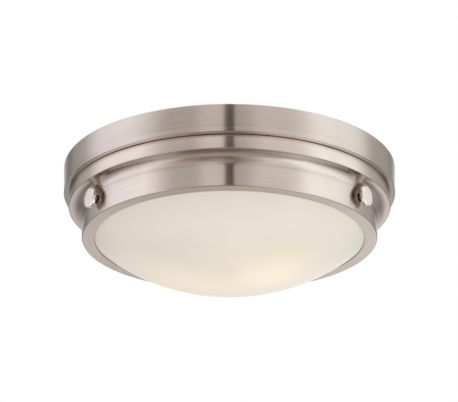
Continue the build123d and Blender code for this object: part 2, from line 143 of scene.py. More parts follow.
# Soft panels of the studio: azimuth from the photographed side, half width of their even part and of
# their whole reach in degrees, level and colour. Two shades darken what lies low at the back and low in
# front, and a dark gap in front widens, about an azimuth of its own, and weakens downwards. Their fades
# run by the upward part of a direction.
WARM, NEUTRAL, COOL, PALE = (1.0, 0.945, 0.89), (1.0, 0.98, 0.95), (1.0, 1.045, 1.13), (1.0, 1.1, 1.08)
PANELS = (
    (0, 50, 220, 0.7, WARM),
    (180, 8, 34, 0.66, NEUTRAL),
    (174, 1, 12, 0.2, NEUTRAL),
    (-84, 12, 46, 0.77, COOL),
    (82, 12, 46, 0.87, PALE),
    (-130, 4, 14, 0.18, NEUTRAL),
    (134, 6, 22, 0.22, NEUTRAL),
    (-11, 4, 16, 0.26, WARM),
    (32, 6, 24, 0.3, WARM),
)
SHADES = (
    ((180, 25, 55, -0.45, (0.95, 1.0, 1.1)), (1.0, 0.0, -0.7, -0.45)),
    ((-60, 55, 75, -0.42, (0.9, 1.0, 1.12)), (1.0, 0.0, -0.9, -0.35)),
)
FRONT_GAP = (0.15, 2.6, 4.1, -0.62, (1.0, 0.97, 0.92))
GAP_TURN = math.radians(0.75)
GAP_NARROWING = (1 / 8, 1.0, -0.35, 0.2)
GAP_FADE = (0.5, 1.0, -0.1, 0.25)
UPPER_FADE = (0.75, 0.98, 0.0, 0.3)
LOWER_FADE = (0.98, 0.75, -0.3, 0.0)
OVERHEAD_START, OVERHEAD_END = 0.45, 0.95


# Sizes and colours that a user may change


def length(name, description, default):
    """A length in metres as a property."""
    return bpy.props.FloatProperty(
        name=name, description=description, default=default, min=0.0, unit="LENGTH", precision=5
    )


def colour(name, description, default):
    """A linear colour as a property."""
    return bpy.props.FloatVectorProperty(
        name=name, description=description, default=default, size=3, min=0.0, max=4.0, subtype="COLOR"
    )


class CeilingLightSizes(bpy.types.PropertyGroup):
    """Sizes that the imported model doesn't give directly."""

    pan_radius: length("Pan radius", "Outer radius of the pan at the ceiling", 167.5 * MM)
    pan_waist_draw: length("Waist draw", "How far the pan's wall draws in above its bead", 0.9 * MM)
    pan_bead_height: length("Bead height", "Height of the flared bead at the pan's foot", 5.0 * MM)
    pan_bead_swell: length("Bead swell", "How far the bead flares out", 0.35 * MM)
    pan_rim_width: length("Rim width", "Width of the rim turned in against the ceiling", 4.0 * MM)
    pan_rim_bend: length("Rim bend", "Outer radius of the bend at the ceiling", 1.2 * MM)
    pan_waist_bend: length("Waist bend", "Radius of the bend above the bead", 8.0 * MM)
    pan_bead_bend: length("Bead bend", "Outer radius of the bead", 0.7 * MM)
    sheet: length("Sheet", "Thickness of the pan and of the ring", 1.0 * MM)
    sheet_bend: length("Sheet bend", "Outer radius of the ring's tight bends", 1.15 * MM)
    band_height: length("Band height", "Height of the ring's upper band", 14.55 * MM)
    lip_width: length("Lip width", "Width of the lip at the top of the ring", 4.3 * MM)
    cove_step: length("Cove step", "How far the neck lies inside the band", 14.3 * MM)
    cove_radius: length("Cove radius", "Radius of the hollow under the band", 12.0 * MM)
    neck_flare: length("Neck flare", "How far the neck widens towards the flange", 0.2 * MM)
    flange_width: length("Flange width", "Width of the flange under the glass", 12.1 * MM)
    bowl_wall: length("Glass wall", "Thickness of the bowl", 3.5 * MM)
    bowl_side_gap: length("Glass side gap", "Gap between the glass and the flange", 0.3 * MM)
    bowl_rim_round: length("Glass rim round", "Radius of the rim's edges", 1.2 * MM)
    gasket_edge: length("Gasket edge", "How far the gasket stays inside the rim", 0.5 * MM)
    collar_sheet: length("Collar sheet", "Thickness of the collar", 1.2 * MM)
    collar_flange: length("Collar flange", "Width of the collar's flange", 16.0 * MM)
    collar_bend: length("Collar bend", "Outer radius of the collar's bend", 2.2 * MM)
    rivet: length("Rivet", "Radius of a rivet's shank", 1.5 * MM)
    rivet_head: length("Rivet head", "Radius of a rivet's head", 3.0 * MM)
    rivet_head_height: length("Rivet head height", "Height of a rivet's head", 1.3 * MM)
    rivet_tail: length("Rivet tail", "Radius of a rivet's tail", 2.4 * MM)
    rivet_tail_height: length("Rivet tail height", "Height of a rivet's tail", 0.9 * MM)
    knob_thickness: length("Knob thickness", "Thickness of a thumb screw's head", 4.0 * MM)
    knob_chamfer: length("Knob chamfer", "Polished edge round the head's face", 0.8 * MM)
    knob_back: length("Knob back", "Bevel at the back of the head", 0.9 * MM)
    stem_radius: length("Stem radius", "Radius of the stem behind the head", 3.5 * MM)
    screw_radius: length("Screw radius", "Outer radius of the thumb screw's thread", 2.5 * MM)
    screw_pitch: length("Screw pitch", "Pitch of the thumb screw's thread", 0.8 * MM)
    screw_thread: length("Screw thread", "Depth of the thumb screw's thread", 0.45 * MM)
    screw_clearance: length("Screw clearance", "Room round the screw in its washer and nut", 0.05 * MM)
    washer_gap: length("Washer gap", "Gap between the stem and the washer", 0.05 * MM)
    nut_flats: length("Nut flats", "Width of a weld nut across its flats", 9.0 * MM)
    nut_height: length("Nut height", "Height of a weld nut", 5.0 * MM)
    bulb_neck: length("Bulb neck", "Radius of the bulb's neck", 12.5 * MM)
    bulb_neck_end: length("Bulb neck end", "From the holder's mouth to where the neck widens", 4.0 * MM)
    bulb_wall: length("Bulb wall", "Thickness of the bulb's glass", 0.9 * MM)
    cap_pitch: length("Cap pitch", "Pitch of the lamp cap's rolled thread", 3.63 * MM)
    cap_thread: length("Cap thread", "Depth of the lamp cap's thread", 0.6 * MM)
    cap_threaded: length("Threaded length", "Length of the lamp cap's threaded part", 17.5 * MM)
    cap_sheet: length("Cap sheet", "Thickness of the lamp cap", 0.4 * MM)
    tip_radius: length("Tip radius", "Radius of the tip contact", 4.6 * MM)
    insulator_radius: length("Insulator radius", "Radius of the black insulator", 9.0 * MM)
    holder_taper: length("Holder taper", "How far the holder's body lies inside its rim", 1.6 * MM)
    holder_rim: length("Holder rim", "Length of the holder's thick rim", 9.0 * MM)
    holder_edge: length("Holder edge", "Radius of the holder's edges", 1.2 * MM)
    shell_gap: length("Shell gap", "Gap between the shell and the holder", 0.1 * MM)
    shell_sheet: length("Shell sheet", "Thickness of the screw shell", 0.45 * MM)
    shell_thread: length("Shell thread", "Depth of the screw shell's thread", 0.2 * MM)
    shell_bore: length("Shell bore", "Radius of the hole in the shell's floor", 8.0 * MM)
    contact_leaf: length("Contact leaf", "Thickness of the centre contact", 0.5 * MM)
    strip: length("Bracket strip", "Thickness of the lamp brackets", 1.5 * MM)
    strip_bend: length("Bracket bend", "Outer radius of the brackets' bend", 3.0 * MM)
    bracket_rivet_near: length("Near rivet", "From the holder's back to the first bracket rivet", 8.5 * MM)
    bracket_rivet_far: length("Far rivet", "From the holder's back to the second bracket rivet", 18.0 * MM)
    holder_screw: length("Holder screw", "Radius of the holder screws", 2.0 * MM)
    holder_screw_depth: length("Holder screw depth", "Reach of the screws into the holder", 5.95 * MM)
    holder_screw_head: length("Holder screw head", "Radius of the holder screws' heads", 3.8 * MM)
    holder_screw_head_height: length("Holder head height", "Height of the holder screws' heads", 2.3 * MM)
    bushing_radius: length("Bushing radius", "Radius of the bushing in the pan", 8.0 * MM)
    bushing_clearance: length("Bushing clearance", "Room round the bushing", 0.1 * MM)
    bushing_bore: length("Bushing bore", "Radius of the bushing's bore", 6.0 * MM)
    bushing_barb: length("Bushing barb", "How far the barb stands out", 0.5 * MM)
    connector_start: length("Connector start", "From the axis to a connector's mouth", 16.0 * MM)
    connector_end: length("Connector end", "Radius of a connector's closed end", 3.6 * MM)
    connector_bore: length("Connector bore", "Radius of a connector's bore", 2.75 * MM)
    connector_depth: length("Connector depth", "Depth of a connector's bore", 11.25 * MM)
    mounting_screw: length("Mounting screw", "Outer radius of the mounting screws' thread", 2.08 * MM)
    mounting_pitch: length("Mounting pitch", "Pitch of the mounting screws' thread", 0.8 * MM)
    mounting_thread: length("Mounting thread", "Depth of the mounting screws' thread", 0.4 * MM)
    ground_head_height: length("Ground head height", "Height of the ground screw's head", 2.6 * MM)
    pad_inner: length("Pad inner radius", "Inner radius of the insulation", 72.95 * MM)
    pad_round: length("Pad round", "Radius of the insulation's edges", 5.0 * MM)
    pad_ruffle: length("Pad ruffle", "How deep the insulation's surface is uneven", 2.2 * MM)


class CeilingLightColours(bpy.types.PropertyGroup):
    """Colours of the finishes."""

    nickel: colour("Nickel", "Brushed outside of the pan and the ring", (0.6, 0.53, 0.495))
    raw_nickel: colour("Raw nickel", "Unbrushed inside of the pan and the ring", (0.46, 0.44, 0.42))
    knob: colour("Knob", "Polished sides of the thumb screws", (0.8, 0.75, 0.71))
    knob_face: colour("Knob face", "Satin faces of the thumb screws", (0.84, 0.78, 0.76))
    knob_back: colour("Knob back", "Unpolished backs of the thumb screws' heads", (0.8, 0.68, 0.6))
    washer: colour("Washer", "Fibre washers", (0.045, 0.036, 0.03))
    zinc: colour("Zinc", "Plated steel pieces", (0.6, 0.61, 0.61))
    enamel: colour("Enamel", "Painted collar", (0.84, 0.83, 0.8))
    ground: colour("Ground", "Ground screw", (0.05, 0.3, 0.09))
    opal: colour("Opal", "Glass bowl", (0.892, 0.866, 0.812))
    # Painted shade of the bowl towards its rim
    opal_rim_painted_shade: colour("Opal edge", "Glass bowl where it nears its rim", (0.84, 0.806, 0.735))
    # The bowl's glow and haze are painted light in its finish; the glow colour is also the bulbs' own glow
    glow: colour("Glow", "Colour of the bowl's glow near the lamps", (1.0, 0.79, 0.48))
    painted_haze: colour("Haze", "Colour of the bowl's glow far from the lamps", (1.0, 0.93, 0.84))
    silicone: colour("Silicone", "Gasket", (0.72, 0.72, 0.7))
    porcelain: colour("Porcelain", "Lamp holders", (0.86, 0.84, 0.79))
    brass: colour("Brass", "Contacts", (0.78, 0.56, 0.24))
    frosted: colour("Frosted glass", "Bulbs", (0.92, 0.9, 0.86))
    aluminium: colour("Aluminium", "Lamp caps", (0.74, 0.73, 0.7))
    black: colour("Black", "Live sleeves, insulators and the bushing", (0.016, 0.016, 0.017))
    white: colour("White", "Neutral sleeves", (0.74, 0.73, 0.69))
    connector: colour("Connector", "Twist-on connectors", (0.62, 0.19, 0.025))
    insulation: colour("Insulation", "Glass fibre mat", (0.72, 0.52, 0.2))
    floor: colour("Floor", "Pale floor under the light", (0.46, 0.42, 0.385))


class CeilingLightStage(bpy.types.PropertyGroup):
    """Camera and floor."""

    camera_distance: length("Camera distance", "Level distance from the light's axis", 1.863)
    camera_drop: length("Camera drop", "How far the camera is below the ceiling", 0.77815)
    aim_drop: length("Aim drop", "How far under the ceiling the camera aims", 0.03145)
    aim_left: length("Aim left", "How far to the left of the axis the camera aims", 0.5 * MM)
    camera_turn: bpy.props.FloatProperty(
        name="Camera turn",
        description="Angle of the camera round the light, from the -Y side",
        default=math.radians(1.0),
        subtype="ANGLE",
    )
    lens: bpy.props.FloatProperty(
        name="Lens",
        description="Focal length in millimetres",
        default=156.3,
        min=10.0,
        subtype="DISTANCE_CAMERA",
    )
    floor_drop: length("Floor drop", "Distance from the ceiling to the floor", 2.9)
    floor_radius: length("Floor radius", "Radius of the floor", 1.5)
    overhead: bpy.props.FloatProperty(
        name="Overhead light", description="Level of the light from above", default=0.5, min=0.0
    )


def sizes():
    """The sizes in use."""
    return bpy.context.scene.ceiling_light_sizes


def colours():
    """The colours in use."""
    return bpy.context.scene.ceiling_light_colours


# Ways of making a mesh


def chain(bm, points):
    """A row of joined edges in the XZ plane, given as (x, z)."""
    verts = [bm.verts.new((x, 0.0, z)) for x, z in points]
    for pair in zip(verts, verts[1:]):
        bm.edges.new(pair)
    return verts


def rounded(bm, verts, radii, segments=ROUND_SEGMENTS):
    """Round corners of a chain: radii maps a corner's index to its radius."""
    for index, radius in radii.items():
        corner = verts[index]
        ways = [(edge.other_vert(corner).co - corner.co).normalized() for edge in corner.link_edges]
        half_turn = (math.pi - ways[0].angle(ways[1])) / 2
        bmesh.ops.bevel(
            bm,
            geom=[corner],
            offset=radius * math.tan(half_turn),
            offset_type="OFFSET",
            affect="VERTICES",
            segments=segments,
            profile=0.5,
            material=-1,
        )


def arc(bm, start, centre, angle, steps):
    """Draw an arc in the XZ plane by spinning one vertex; returns its last vertex."""
    made = bmesh.ops.spin(
        bm, geom=[start], cent=(centre[0], 0, centre[1]), axis=(0, 1, 0), angle=angle, steps=steps
    )
    return made["geom_last"][0]


def spin(bm, axis=AXIS_Z, steps=RING_STEPS):
    """Spin everything in the mesh once round an axis through the origin."""
    bmesh.ops.spin(
        bm,
        geom=bm.verts[:] + bm.edges[:],
        cent=(0, 0, 0),
        axis=axis,
        angle=math.tau,
        steps=steps,
        use_merge=True,
    )
    bmesh.ops.remove_doubles(bm, verts=bm.verts, dist=MERGE)
    bmesh.ops.recalc_face_normals(bm, faces=bm.faces)


def add_mesh(target, source, matrix):
    """Add a copy of one bmesh to another, moved by a matrix."""
    mesh = bpy.data.meshes.new("copy")
    source.to_mesh(mesh)
    mesh.transform(matrix)
    target.from_mesh(mesh)
    bpy.data.meshes.remove(mesh)


def finish_piece(bm, name, body, nodes, materials):
    """Make the object of a finished mesh, put it on its body and in place of its nodes."""
    mesh = bpy.data.meshes.new(name)
    bm.to_mesh(mesh)
    bm.free()
    mesh.shade_smooth()
    mesh.set_sharp_from_angle(angle=SHARP_ANGLE)
    piece = bpy.data.objects.new(name, mesh)
    bpy.context.scene.collection.objects.link(piece)
    for material in materials:
        mesh.materials.append(material)
    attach(piece, body)
    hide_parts(*nodes)
    return piece


# Finishes


def new_material(name):
    """A material with an empty principled shader, as (material, node tree, shader)."""
    material = bpy.data.materials.new(name)
    material.use_nodes = True
    tree = material.node_tree
    return material, tree, tree.nodes["Principled BSDF"]


def add(tree, kind, sockets=(), **settings):
    """Add a node: settings are its options, sockets fill its inputs with values or other outputs."""
    node = tree.nodes.new(kind)
    for name, value in settings.items():
        setattr(node, name, value)
    fill(tree, node, sockets)
    return node


def fill(tree, node, sockets):
    """Fill a node's inputs with values or with the outputs of other nodes."""
    for key, value in dict(sockets).items():
        if isinstance(value, bpy.types.NodeSocket):
            tree.links.new(value, node.inputs[key])
        else:
            node.inputs[key].default_value = value


def place(tree):
    """Object coordinates, in metres in the frame of the part."""
    return add(tree, "ShaderNodeTexCoord").outputs["Object"]


def grain(tree, vector, scale, detail=3.0, rough=0.55):
    """Noise of a given scale, from 0 to 1."""
    sockets = {"Vector": vector, "Scale": scale, "Detail": detail, "Roughness": rough}
    return add(tree, "ShaderNodeTexNoise", sockets).outputs["Fac"]


def calc(tree, operation, *values):
    """Result of a Math node."""
    return add(tree, "ShaderNodeMath", dict(enumerate(values)), operation=operation).outputs[0]


def vector_calc(tree, operation, *values):
    """Outputs of a Vector Math node."""
    return add(tree, "ShaderNodeVectorMath", dict(enumerate(values)), operation=operation).outputs


def between(tree, factor, low, high, start=0.0, end=1.0, **settings):
    """Carry a factor from one range to another."""
    sockets = {"Value": factor, "From Min": start, "From Max": end, "To Min": low, "To Max": high}
    return add(tree, "ShaderNodeMapRange", sockets, **settings).outputs["Result"]


def blend(tree, factor, first, second):
    """From one colour to another by a factor."""
    return add(tree, "ShaderNodeMix", {0: factor, 6: first, 7: second}, data_type="RGBA").outputs[2]


def tint(tree, factor, base, dark, light):
    """The base colour, from a darker to a lighter share of it."""
    return blend(tree, factor, *[(*(share * part for part in base), 1.0) for share in (dark, light)])


def scaled(tree, vector, share):
    """A colour or vector scaled by a factor."""
    return add(tree, "ShaderNodeVectorMath", {0: vector, "Scale": share}, operation="SCALE").outputs[0]


def added(tree, first, second):
    """The sum of two colours or vectors."""
    return vector_calc(tree, "ADD", first, second)[0]


def bump(tree, height, distance, strength):
    """Relief of a given height in metres."""
    sockets = {"Height": height, "Distance": distance, "Strength": strength}
    return add(tree, "ShaderNodeBump", sockets).outputs["Normal"]


def stretched(tree, scale):
    """Object coordinates scaled by axis, for marks that run along one way."""
    return add(tree, "ShaderNodeMapping", {"Vector": place(tree), "Scale": scale}).outputs["Vector"]


def coordinate(tree, axis):
    """One of the Object coordinates."""
    return add(tree, "ShaderNodeSeparateXYZ", {0: place(tree)}).outputs[axis]


def level_place(tree):
    """Object coordinates brought to the ceiling plane, and their distance from the vertical axis."""
    level = vector_calc(tree, "MULTIPLY", place(tree), (1, 1, 0))[0]
    return level, vector_calc(tree, "LENGTH", level)["Value"]


def brushed_position(tree, around, across):
    """Coordinates that change slowly round the vertical axis and fast across it."""
    level, radius = level_place(tree)
    run = calc(tree, "MULTIPLY", calc(tree, "ADD", radius, coordinate(tree, "Z")), across)
    fast = add(tree, "ShaderNodeCombineXYZ", {"Z": run}).outputs[0]
    return added(tree, scaled(tree, level, around), fast)


def brushed_nickel(name, share, fades=()):
    """Satin nickel with fine lines round the axis, which smear reflections up and down.

    A share below one paints shade on it, and each fade paints light or shade on it along Y.
    """
    material, tree, shader = new_material(name)
    streaks = grain(tree, brushed_position(tree, 14.0, 900.0), 1.0, 4.0, 0.65)
    lines = grain(tree, brushed_position(tree, 30.0, 4200.0), 1.0, 2.0)
    cloud = grain(tree, place(tree), 24.0, 2.0)
    mixed = calc(tree, "ADD", streaks, lines)
    patches = between(tree, calc(tree, "ADD", mixed, cloud), 0, 1, 1.05, 1.95)
    metal = tint(tree, patches, colours().nickel, 0.89 * share, 1.07 * share)
    for fade in fades:
        metal = scaled(tree, metal, between(tree, coordinate(tree, "Y"), *fade))
    sockets = {
        "Base Color": metal,
        "Metallic": 1.0,
        "Roughness": between(tree, mixed, 0.15, 0.2, 0.7, 1.3),
        "Anisotropic": 0.97,
        "Anisotropic Rotation": 0.25,
        "Tangent": add(tree, "ShaderNodeTangent", direction_type="RADIAL", axis="Z").outputs[0],
        "Normal": bump(tree, lines, 0.00001, 0.4),
    }
    fill(tree, shader, sockets)
    return material


@cache
def raw_nickel():
    """Inside of the spun pieces, left as the spinning tool left it."""
    return mottled_metal("raw_nickel", colours().raw_nickel, scale=60.0, rough=(0.36, 0.5))


@cache
def zinc_plate():
    """Zinc on the steel pieces."""
    return mottled_metal("zinc_plate", colours().zinc, scale=220.0, rough=(0.3, 0.45))


@cache
def brass():
    """Brass of the contacts."""
    return mottled_metal("brass", colours().brass, scale=320.0, rough=(0.2, 0.34))


def mottled_metal(name, base, scale, rough):
    """Metal left as it was formed or plated, with cloudy patches and small pits."""
    material, tree, shader = new_material(name)
    cloud = grain(tree, place(tree), scale, 4.0)
    pits = grain(tree, place(tree), scale * PIT_FINENESS, 2.0)
    sockets = {
        "Base Color": tint(tree, cloud, base, 0.85, 1.1),
        "Metallic": 1.0,
        "Roughness": between(tree, cloud, *rough, *NOISE_MIDDLE),
        "Normal": bump(tree, pits, 0.00004, 0.25),
    }
    fill(tree, shader, sockets)
    return material


def polished_metal(name, base, rough, marks):
    """Bright metal with faint turning marks."""
    material, tree, shader = new_material(name)
    lines = grain(tree, stretched(tree, marks), 1.0, 3.0)
    sockets = {
        "Base Color": tint(tree, lines, base, 0.96, 1.03),
        "Metallic": 1.0,
        "Roughness": between(tree, lines, rough * 0.8, rough * 1.2, *NOISE_MIDDLE),
        "Normal": bump(tree, lines, 0.00001, 0.2),
    }
    fill(tree, shader, sockets)
    return material


def moulded(name, base, rough, scale, relief=0.00003, coat=0.0):
    """Plastic, rubber, fibre or paint with a fine skin and uneven gloss."""
    material, tree, shader = new_material(name)
    skin = grain(tree, place(tree), scale, 4.0)
    patches = grain(tree, place(tree), scale / SKIN_FINENESS, 3.0)
    sockets = {
        "Base Color": tint(tree, patches, base, 0.88, 1.06),
        "Roughness": between(tree, patches, rough * 0.85, rough * 1.15, *NOISE_MIDDLE),
        "Coat Weight": coat,
        "Coat Roughness": 0.06,
        "Normal": bump(tree, skin, relief, 0.5),
    }
    fill(tree, shader, sockets)
    return material


def painted_glow_spot(tree, centre, reach):
    """Soft round spot of painted light: 1 at its centre, 0 at its reach."""
    distance = vector_calc(tree, "DISTANCE", place(tree), centre)["Value"]
    return between(tree, distance, 1.0, 0.0, 0.0, reach, interpolation_type="SMOOTHERSTEP")


def opal_glass():
    """White opal glass with soft spots of painted lamp glow over an even painted haze, and painted shade
    towards its rim.
    """
    material, tree, shader = new_material("opal_glass")
    drift = grain(tree, stretched(tree, (4.0, 14.0, 14.0)), 1.0, 3.0)
    light = 0.0
    # Painted lamp glow: spots of emission in the bowl's finish, over an even painted haze
    for spot, reach, share in PAINTED_GLOW_SPOTS:
        glow = painted_glow_spot(tree, (*spot, BOWL_LOW.z + PAINTED_GLOW_RISE), reach)
        light = calc(tree, "ADD", light, calc(tree, "MULTIPLY", glow, share))
    # Painted shade: a darker tone towards the rim
    rim = between(tree, level_place(tree)[1], *OPAL_RIM_PAINTED_SHADE)
    tones = [tint(tree, drift, tone, 0.97, 1.02) for tone in (colours().opal, colours().opal_rim_painted_shade)]
    painted_glow_colours = [(*shade, 1.0) for shade in (colours().painted_haze, colours().glow)]
    sockets = {
        "Base Color": blend(tree, rim, *tones),
        "Roughness": between(tree, drift, 0.16, 0.24, *NOISE_MIDDLE),
        "Emission Color": blend(tree, between(tree, light, 0.0, 1.0, 0.1, 1.0), *painted_glow_colours),
        "Emission Strength": between(tree, light, 0.11, 0.3, 0.0, 1.8),
        "Coat Weight": 0.15,
    }
    fill(tree, shader, sockets)
    return material


def frosted_bulb():
    """Frosted lamp glass with a fine etch and a soft, uneven glow."""
    material, tree, shader = new_material("frosted_bulb")
    etch = grain(tree, place(tree), 900.0, 2.0)
    cloud = grain(tree, place(tree), 40.0, 3.0)
    sockets = {
        "Base Color": tint(tree, cloud, colours().frosted, 0.96, 1.02),
        "Roughness": between(tree, cloud, 0.3, 0.4),
        "Emission Color": (*colours().glow, 1.0),
        "Emission Strength": between(tree, cloud, 0.22, 0.34, *NOISE_MIDDLE),
        "Normal": bump(tree, etch, 0.00002, 0.3),
    }
    fill(tree, shader, sockets)
    return material


def fibre_mat():
    """Loose glass fibre: long crossing threads over cloudy tufts."""
    material, tree, shader = new_material("fibre_mat")
    tufts = grain(tree, place(tree), 90.0, 4.0)
    one_way = grain(tree, stretched(tree, (120.0, 900.0, 500.0)), 1.0, 3.0)
    other_way = grain(tree, stretched(tree, (900.0, 140.0, 500.0)), 1.0, 3.0)
    threads = calc(tree, "MAXIMUM", one_way, other_way)
    shade = between(tree, calc(tree, "MULTIPLY", tufts, threads), 0, 1, 0.15, 0.45)
    sockets = {
        "Base Color": tint(tree, shade, colours().insulation, 0.6, 1.2),
        "Roughness": 0.9,
        "Sheen Weight": 0.35,
        "Normal": bump(tree, threads, 0.0008, 0.7),
    }
    fill(tree, shader, sockets)
    return material


# Shapes shared by several pieces


def loop(bm, points):
    """A closed chain of edges in the XZ plane."""
    verts = chain(bm, points)
    bm.edges.new((verts[-1], verts[0]))
    return verts


def spun_sheet(points, radii, thickness, segments=ROUND_SEGMENTS):
    """A sheet drawn by its outer side as (radius, height), spun and given its thickness inwards."""
    bm = bmesh.new()
    rounded(bm, chain(bm, points), radii, segments)
    spin(bm)
    bmesh.ops.solidify(bm, geom=bm.faces[:], thickness=thickness)
    return bm


def turned(points, radii=(), axis=AXIS_X, steps=SMALL_STEPS):
    """A solid turned from an open outline of (x, z), with radii at some of its corners."""
    bm = bmesh.new()
    rounded(bm, chain(bm, points), dict(radii))
    spin(bm, axis, steps)
    return bm


def turned_ring(points, radii, axis=AXIS_X, steps=SMALL_STEPS):
    """A ring turned from a closed outline of (x, z), with radii at some of its corners."""
    bm = bmesh.new()
    rounded(bm, loop(bm, points), radii)
    spin(bm, axis, steps)
    return bm


def wind_thread(bm, start, end, pitch, root, crest, steps):
    """Wind a closed ridge round the X axis, on a core or in a bore of the root radius."""
    turns = (end - start - pitch) / pitch
    count = round(turns * steps)
    sunk = 2 * root - crest
    # Corners of the ridge, each as a share of the pitch and a radius
    ridge = ((0.05, root), (0.4, crest), (0.6, crest), (0.95, root), (0.5, sunk))
    section = bm.faces.new([bm.verts.new((start + share * pitch, 0, radius)) for share, radius in ridge])
    bmesh.ops.spin(
        bm,
        geom=[section],
        cent=(0, 0, 0),
        axis=AXIS_X,
        dvec=(turns * pitch / count, 0, 0),
        angle=turns * math.tau,
        steps=count,
    )
    bmesh.ops.recalc_face_normals(bm, faces=bm.faces)


def bent_strip(bm, width, thickness, edge):
    """Give a chain in the XZ plane a width along Y, a thickness and broken edges."""
    made = bmesh.ops.extrude_edge_only(bm, edges=bm.edges[:])["geom"]
    far = [item for item in made if isinstance(item, bmesh.types.BMVert)]
    bmesh.ops.translate(bm, vec=(0, width, 0), verts=far)
    bmesh.ops.translate(bm, vec=(0, -width / 2, 0), verts=bm.verts)
    bmesh.ops.recalc_face_normals(bm, faces=bm.faces)
    bmesh.ops.solidify(bm, geom=bm.faces[:], thickness=thickness)
    bmesh.ops.recalc_face_normals(bm, faces=bm.faces)
    break_edges(bm, edge)


def break_edges(bm, width, among=None):
    """Bevel the sharp edges of a mesh, or the sharp ones among some edges."""
    sharp = [edge for edge in among or bm.edges if edge.calc_face_angle(0) > BROKEN_ANGLE]
    bmesh.ops.bevel(
        bm,
        geom=sharp,
        offset=width,
        offset_type="OFFSET",
        affect="EDGES",
        segments=EDGE_SEGMENTS,
        profile=0.5,
        material=-1,
    )


def hexagon(flats, height, bore, edge):
    """Hexagon nut or head that stands on the XY plane with a corner on X, with a bore or closed."""
    bm = bmesh.new()
    corner = flats / 2 / math.cos(math.pi / 6)
    turn = Matrix.Rotation(math.pi / 6, 4, "Z")
    bmesh.ops.create_circle(bm, segments=6, radius=corner, cap_ends=not bore, matrix=turn)
    if bore:
        bmesh.ops.subdivide_edges(bm, edges=bm.edges[:], cuts=BORE_STEPS // 6 - 1)
        bmesh.ops.create_circle(bm, segments=BORE_STEPS, radius=bore)
        bmesh.ops.bridge_loops(bm, edges=bm.edges[:])
    made = bmesh.ops.extrude_face_region(bm, geom=bm.faces[:])["geom"]
    top = [item for item in made if isinstance(item, bmesh.types.BMVert)]
    bmesh.ops.translate(bm, vec=(0, 0, height), verts=top)
    bmesh.ops.recalc_face_normals(bm, faces=bm.faces)
    outer = [side for side in bm.edges if min(v.co.xy.length for v in side.verts) > (flats / 2 + bore) / 2]
    break_edges(bm, edge, outer)
    return bm


def cross_recess(bm, arm, width, depth, face_z):
    """Sink a cross into the flat face that looks down at a height."""
    for way in (Vector((1, 0, 0)), Vector((0, 1, 0))):
        for reach in (-arm, -width / 2, width / 2, arm):
            flat = [face for face in bm.faces if abs(face.calc_center_median().z - face_z) < MERGE]
            parts = {item for face in flat for item in (*face.verts, *face.edges, face)}
            bmesh.ops.bisect_plane(bm, geom=list(parts), dist=MERGE, plane_co=way * reach, plane_no=way)
    slot = []
    for face in bm.faces:
        centre = face.calc_center_median()
        short, long = sorted((abs(centre.x), abs(centre.y)))
        if abs(centre.z - face_z) < MERGE and short < width / 2 and long < arm:
            slot.append(face)
    made = bmesh.ops.extrude_face_region(bm, geom=slot)["geom"]
    floor = [item for item in made if isinstance(item, bmesh.types.BMVert)]
    bmesh.ops.translate(bm, vec=(0, 0, depth), verts=floor)
    bmesh.ops.delete(bm, geom=[face for face in slot if face.is_valid], context="FACES")
    bmesh.ops.recalc_face_normals(bm, faces=bm.faces)


def dome(bm, apex, foot):
    """Arc of a round dome on the vertical axis, from its apex to its foot as (radius, height)."""
    radius, rise = foot[0], foot[1] - apex
    sphere = (radius**2 + rise**2) / (2 * rise)
    return arc(bm, bm.verts.new((0, 0, apex)), (0, apex + sphere), -math.asin(radius / sphere), DOME_STEPS)


def paint_inside(bm):
    """Give the faces that look up or towards the vertical axis the second material."""
    for face in bm.faces:
        centre = face.calc_center_median()
        out = Vector((centre.x, centre.y, 0)).normalized()
        if face.normal.z > LOOKS_UP or face.normal.dot(out) < -LOOKS_IN:
            face.material_index = SECOND


def moved(bm, matrix):
    """Move a whole mesh and return it."""
    bmesh.ops.transform(bm, matrix=matrix, verts=bm.verts)
    return bm


def copies(source, matrices):
    """One mesh with a copy of another at each place."""
    target = bmesh.new()
    for matrix in matrices:
        add_mesh(target, source, matrix)
    source.free()
    return target


def at_screws():
    """Matrices from the X axis to the axes of the thumb screws, by name."""
    level = Matrix.Translation((0, 0, (SCREW_LOW.z + SCREW_HIGH.z) / 2))
    return {name: Matrix.Rotation(math.radians(turn), 4, "Z") @ level for name, turn in SCREW_ANGLES.items()}


def at_lamps(first=Matrix.Identity(4)):
    """Matrices from the X axis, with the holder's mouth at the origin, to the lamps, after a first move."""
    mouth = Matrix.Translation((LAMP_MOUTH, LAMP_AXIS.y, LAMP_AXIS.z))
    return {name: Matrix.Rotation(turn, 4, "Z") @ mouth @ first for name, turn in LAMP_TURNS.items()}


def finish_each(source, places, title, body, node, materials):
    """Finish a copy of a mesh at each named place. A body with braces is the place's own."""
    for name, matrix in places.items():
        bm = moved(source.copy(), matrix)
        finish_piece(bm, f"{title}_{name}", body.format(name), [f"{node}_{name}"], materials)
    source.free()


def stand_thread(bm, start, end):
    """Add the mounting screws' thread on the vertical axis, between two heights."""
    size = sizes()
    core = size.mounting_screw - size.mounting_thread
    ridge = bmesh.new()
    wind_thread(ridge, start, end, size.mounting_pitch, core, size.mounting_screw, MOUNTING_THREAD_STEPS)
    add_mesh(bm, ridge, STAND_UP)
    ridge.free()


def dress_node(name, material):
    """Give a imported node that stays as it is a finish."""
    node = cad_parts[name]
    node.data.materials.clear()
    node.data.materials.append(material)


def bowl_sphere():
    """Radius of the bowl's outside and the height of its centre."""
    size = sizes()
    bore = RING_HIGH.x - size.cove_step - size.flange_width - size.bowl_side_gap
    height = GASKET_LOW.z - BOWL_LOW.z
    radius = (bore**2 + height**2) / (2 * height)
    return radius, BOWL_LOW.z + radius


def side_of(face):
    """Direction of a face's middle from the X axis, as (y, z)."""
    return face.calc_center_median().yz


# The housing


